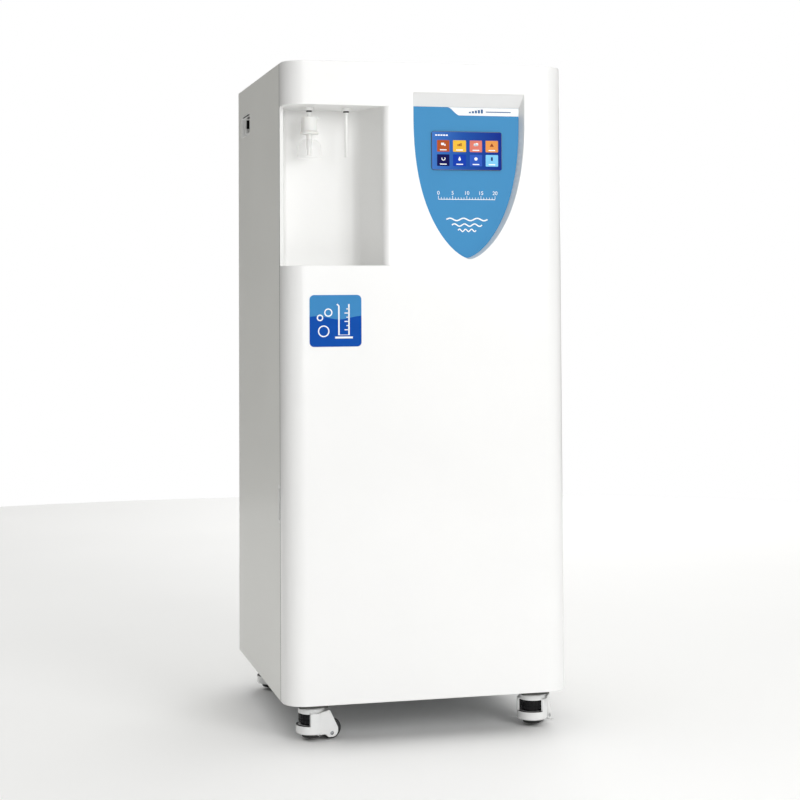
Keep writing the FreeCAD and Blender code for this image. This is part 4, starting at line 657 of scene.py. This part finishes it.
# The label on the door: two blues with a graduated cylinder and rings
label_low, label_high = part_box("label_plate")
LX0, LX1, LZ0, LZ1 = label_low.x / MM, label_high.x / MM, label_low.z / MM, label_high.z / MM
LABEL = label_low.y / MM
LABEL_CORNER = 7.0
LABEL_WIDTH, LABEL_HEIGHT = LX1 - LX0, LZ1 - LZ0
deep = print_colour("label_deep_blue", (0.006, 0.076, 0.39))
light = print_colour("label_light_blue", (0.055, 0.25, 0.53))
label_outline = rounded(LX0, LZ0, LX1, LZ1, LABEL_CORNER, 8)
label_base = plates("label_plate_print", [label_outline], (LABEL + 0.2, LABEL + 0.6), light)
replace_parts(label_base, "label_plate")
lower = [point for point in label_outline if point[1] < LZ0 + LABEL_CORNER + 0.1]
SWELL_SHARE, SWELL_HEIGHT, SWELL_TURNS, SWELL_START, SWELL_STEPS = 0.56, 2.6, 1.15, 0.6, 32
swell = []
for i in range(SWELL_STEPS + 1):
    rise = SWELL_HEIGHT * sin(2 * pi * i / SWELL_STEPS * SWELL_TURNS + SWELL_START)
    swell.append((LX0 + LABEL_WIDTH * i / SWELL_STEPS, LZ0 + LABEL_HEIGHT * SWELL_SHARE + rise))
plates("label_lower_field", [swell[::-1] + lower], (LABEL + 0.1, LABEL + 0.4), deep)

CYLINDER_SHARES = (0.66, 0.5)
CX, CZ = LX0 + LABEL_WIDTH * CYLINDER_SHARES[0], LZ0 + LABEL_HEIGHT * CYLINDER_SHARES[1]
cylinder = [(CX - 11, CZ + 26), (CX - 8, CZ + 23), (CX - 8, CZ - 22), (CX + 8, CZ - 22), (CX + 8, CZ + 26)]
foot = [(CX - 14, CZ - 26), (CX + 14, CZ - 26)]
marks = [[(CX + 8, CZ - 14 + 6.5 * i), (CX + (1 if i % 2 == 0 else 4), CZ - 14 + 6.5 * i)] for i in range(6)]
sign = [stroke(cylinder, 2.4), stroke(foot, 3.0)] + [stroke(mark, 1.5) for mark in marks]
# Each ring's place as shares of the label, and its radius in mm
RING_SHARES = ((0.27, 0.3, 8.2), (0.2, 0.56, 4.2), (0.36, 0.66, 5.6))
rings = [stroke(arc(LX0 + LABEL_WIDTH * share_x, LZ0 + LABEL_HEIGHT * share_z, r, 0, 360, 24), 1.9)
         for share_x, share_z, r in RING_SHARES]
plates("label_sign", sign, (LABEL, LABEL + 0.3), ink)
plates("label_rings", rings, (LABEL, LABEL + 0.3), ink)


# ---------------------------------------------------------------- handle wells and seam strips

def bars_piece(name, bars, mat):
    """Square bars on the cabinet, each given by its spans of x, y and z in mm, as one piece."""
    bm = bmesh.new()
    for bar in bars:
        spans = [sorted(span) for span in bar]
        made = bmesh.ops.create_cube(bm, size=1)
        bmesh.ops.scale(bm, vec=[(high - low) * MM for low, high in spans], verts=made["verts"])
        bmesh.ops.translate(bm, vec=[(low + high) / 2 * MM for low, high in spans], verts=made["verts"])
    piece(name, bm, "root", mat)


# Black sheets painted as shade in the handle wells (ends, floor and roof), and a painted shadow along the
# dish's top edge
WELL_END, WELL_TRIM, SKIN, LIFT, ROOF_INSET = 5.2, (20.9, 2.3), 0.3, 0.1, 4
DEEP, SHALLOW, DISH_INSET, DISH_DEPTH = 22, 8, 8, (2.4, 0.1)
cup_low, cup_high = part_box("handle_cups")
WELL_Y = (cup_low.y / MM + WELL_END, cup_high.y / MM - WELL_END)
WELL_Z = (cup_high.z / MM - WELL_TRIM[0], cup_high.z / MM - WELL_TRIM[1])
WELL_FLOOR, WELL_MOUTH = cup_high.x / MM - DEEP + LIFT, cup_high.x / MM - SHALLOW
DISH_X = [cup_high.x / MM - depth for depth in DISH_DEPTH]
DISH_Y = (cup_low.y / MM + DISH_INSET, cup_high.y / MM - DISH_INSET)
ROOF_Y, ROOF_Z = (WELL_Y[0] + ROOF_INSET, WELL_Y[1] - ROOF_INSET), (WELL_Z[1] - SKIN, WELL_Z[1])
for side, name in ((-1, "left"), (1, "right")):
    deep_x = (side * WELL_FLOOR, side * WELL_MOUTH)
    bars_piece("handle_well_shade_" + name, [
        (deep_x, (WELL_Y[1] - SKIN, WELL_Y[1]), WELL_Z),
        (deep_x, (WELL_Y[0], WELL_Y[0] + SKIN), WELL_Z),
        ((side * WELL_FLOOR, side * (WELL_FLOOR + SKIN)), WELL_Y, WELL_Z),
        (deep_x, ROOF_Y, ROOF_Z),
        ((side * DISH_X[0], side * DISH_X[1]), DISH_Y, ROOF_Z)], shade_black)

# A black strip with the rubber finish, nearly flush in the seam between the door and the cabinet and clear of
# the hinges: it paints the shade in the seam's gap
door_low, door_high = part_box("front_door")
panel_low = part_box("left_side_panel")[0]
knuckle_low, knuckle_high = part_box("hinge_pins")
SEAM_GAPS, SEAM_DEPTH, SEAM_INSET, SEAM_END = (0.12, 0.05), 3.0, 0.12, 1
SEAM_Y = (door_high.y / MM + SEAM_GAPS[0], panel_low.y / MM - SEAM_GAPS[1])
SEAM_X = (door_high.x / MM - SEAM_DEPTH, door_high.x / MM - SEAM_INSET)
SEAM_LOW, SEAM_HIGH = door_low.z / MM + SEAM_END, door_high.z / MM - SEAM_END
HINGE_GAP, HINGE_REACH = 2.0, 60.0
lower_hinge = (knuckle_low.z / MM - HINGE_GAP, knuckle_low.z / MM + HINGE_REACH + HINGE_GAP)
upper_hinge = (knuckle_high.z / MM - HINGE_REACH - HINGE_GAP, knuckle_high.z / MM + HINGE_GAP)
right_runs = ((SEAM_LOW, lower_hinge[0]), (lower_hinge[1], upper_hinge[0]), (upper_hinge[1], SEAM_HIGH))
bars_piece("seam_shade_strip_left", [((-SEAM_X[1], -SEAM_X[0]), SEAM_Y, (SEAM_LOW, SEAM_HIGH))], rubber)
bars_piece("seam_shade_strip_right", [(SEAM_X, SEAM_Y, run) for run in right_runs], rubber)


# ---------------------------------------------------------------- casters

LEDGE_INNER, LEDGE_OUTER, LEDGE_THICKNESS = 20.9, 24.1, 0.4
LEDGE_GAP, LEDGE_HALF_TURN, LEDGE_STEPS = 0.3, 58, 32
PIN_REACH, PIN_HEIGHT, PIN_RADIUS, PIN_RISE, PIN_ROOT, CHEEK = 24.5, 12.0, 3.1, 0.5, -0.4, 23.5
# A steel pin's head, as (radius, height) in mm: a rounded rim round a shallow dimple
PIN_PROFILE = (
    (0, PIN_ROOT), (PIN_RADIUS, PIN_ROOT), (PIN_RADIUS, PIN_RISE - 0.15), (PIN_RADIUS - 0.3, PIN_RISE),
    (PIN_RADIUS - 0.9, PIN_RISE), (PIN_RADIUS - 1.3, PIN_RISE - 0.35), (PIN_RADIUS - 1.9, PIN_RISE - 0.35),
    (0, PIN_RISE - 0.1))
for corner in CORNERS:
    axis_x, axis_y = axis_of(f"caster_{corner}_foot")
    wheel_x, wheel_y = axis_of(f"caster_{corner}_wheel")
    trail = atan2(wheel_y - axis_y, wheel_x - axis_x)
    body = body_of[f"caster_{corner}_housing"]

    # A black ledge round the housing's nose, just below the adjuster ring
    ledge_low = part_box(f"caster_{corner}_adjuster")[0].z / MM - LEDGE_GAP
    ledge_high = ledge_low + LEDGE_THICKNESS
    section = ((LEDGE_INNER, ledge_low), (LEDGE_OUTER, ledge_low), (LEDGE_OUTER, ledge_high),
               (LEDGE_INNER, ledge_high))
    bm = bmesh.new()
    rows = []
    for i in range(LEDGE_STEPS + 1):
        a = trail + pi + radians(LEDGE_HALF_TURN) * (2 * i / LEDGE_STEPS - 1)
        rows.append([bm.verts.new(((axis_x + r * cos(a)) * MM, (axis_y + r * sin(a)) * MM, z * MM))
                     for r, z in section])
    bm.faces.new(rows[0])
    bm.faces.new(rows[-1][::-1])
    for one, other in zip(rows, rows[1:]):
        bridge(bm, other, one, len(section))
    piece(f"caster_{corner}_ledge", bm, body, ring_black)

    # A steel pin on the outside of each cheek
    bm = bmesh.new()
    for side in (-1, 1):
        heading = Matrix.Rotation(trail, 4, "Z")
        spot = heading @ Vector((PIN_REACH, side * CHEEK, 0))
        centre = Vector((axis_x + spot.x, axis_y + spot.y, PIN_HEIGHT)) * MM
        place = Matrix.Translation(centre) @ heading @ Matrix.Rotation(radians(-90 * side), 4, "X")
        turned(bm, PIN_PROFILE, place, 32)
    smooth(piece(f"caster_{corner}_pins", bm, body, chrome), 30)
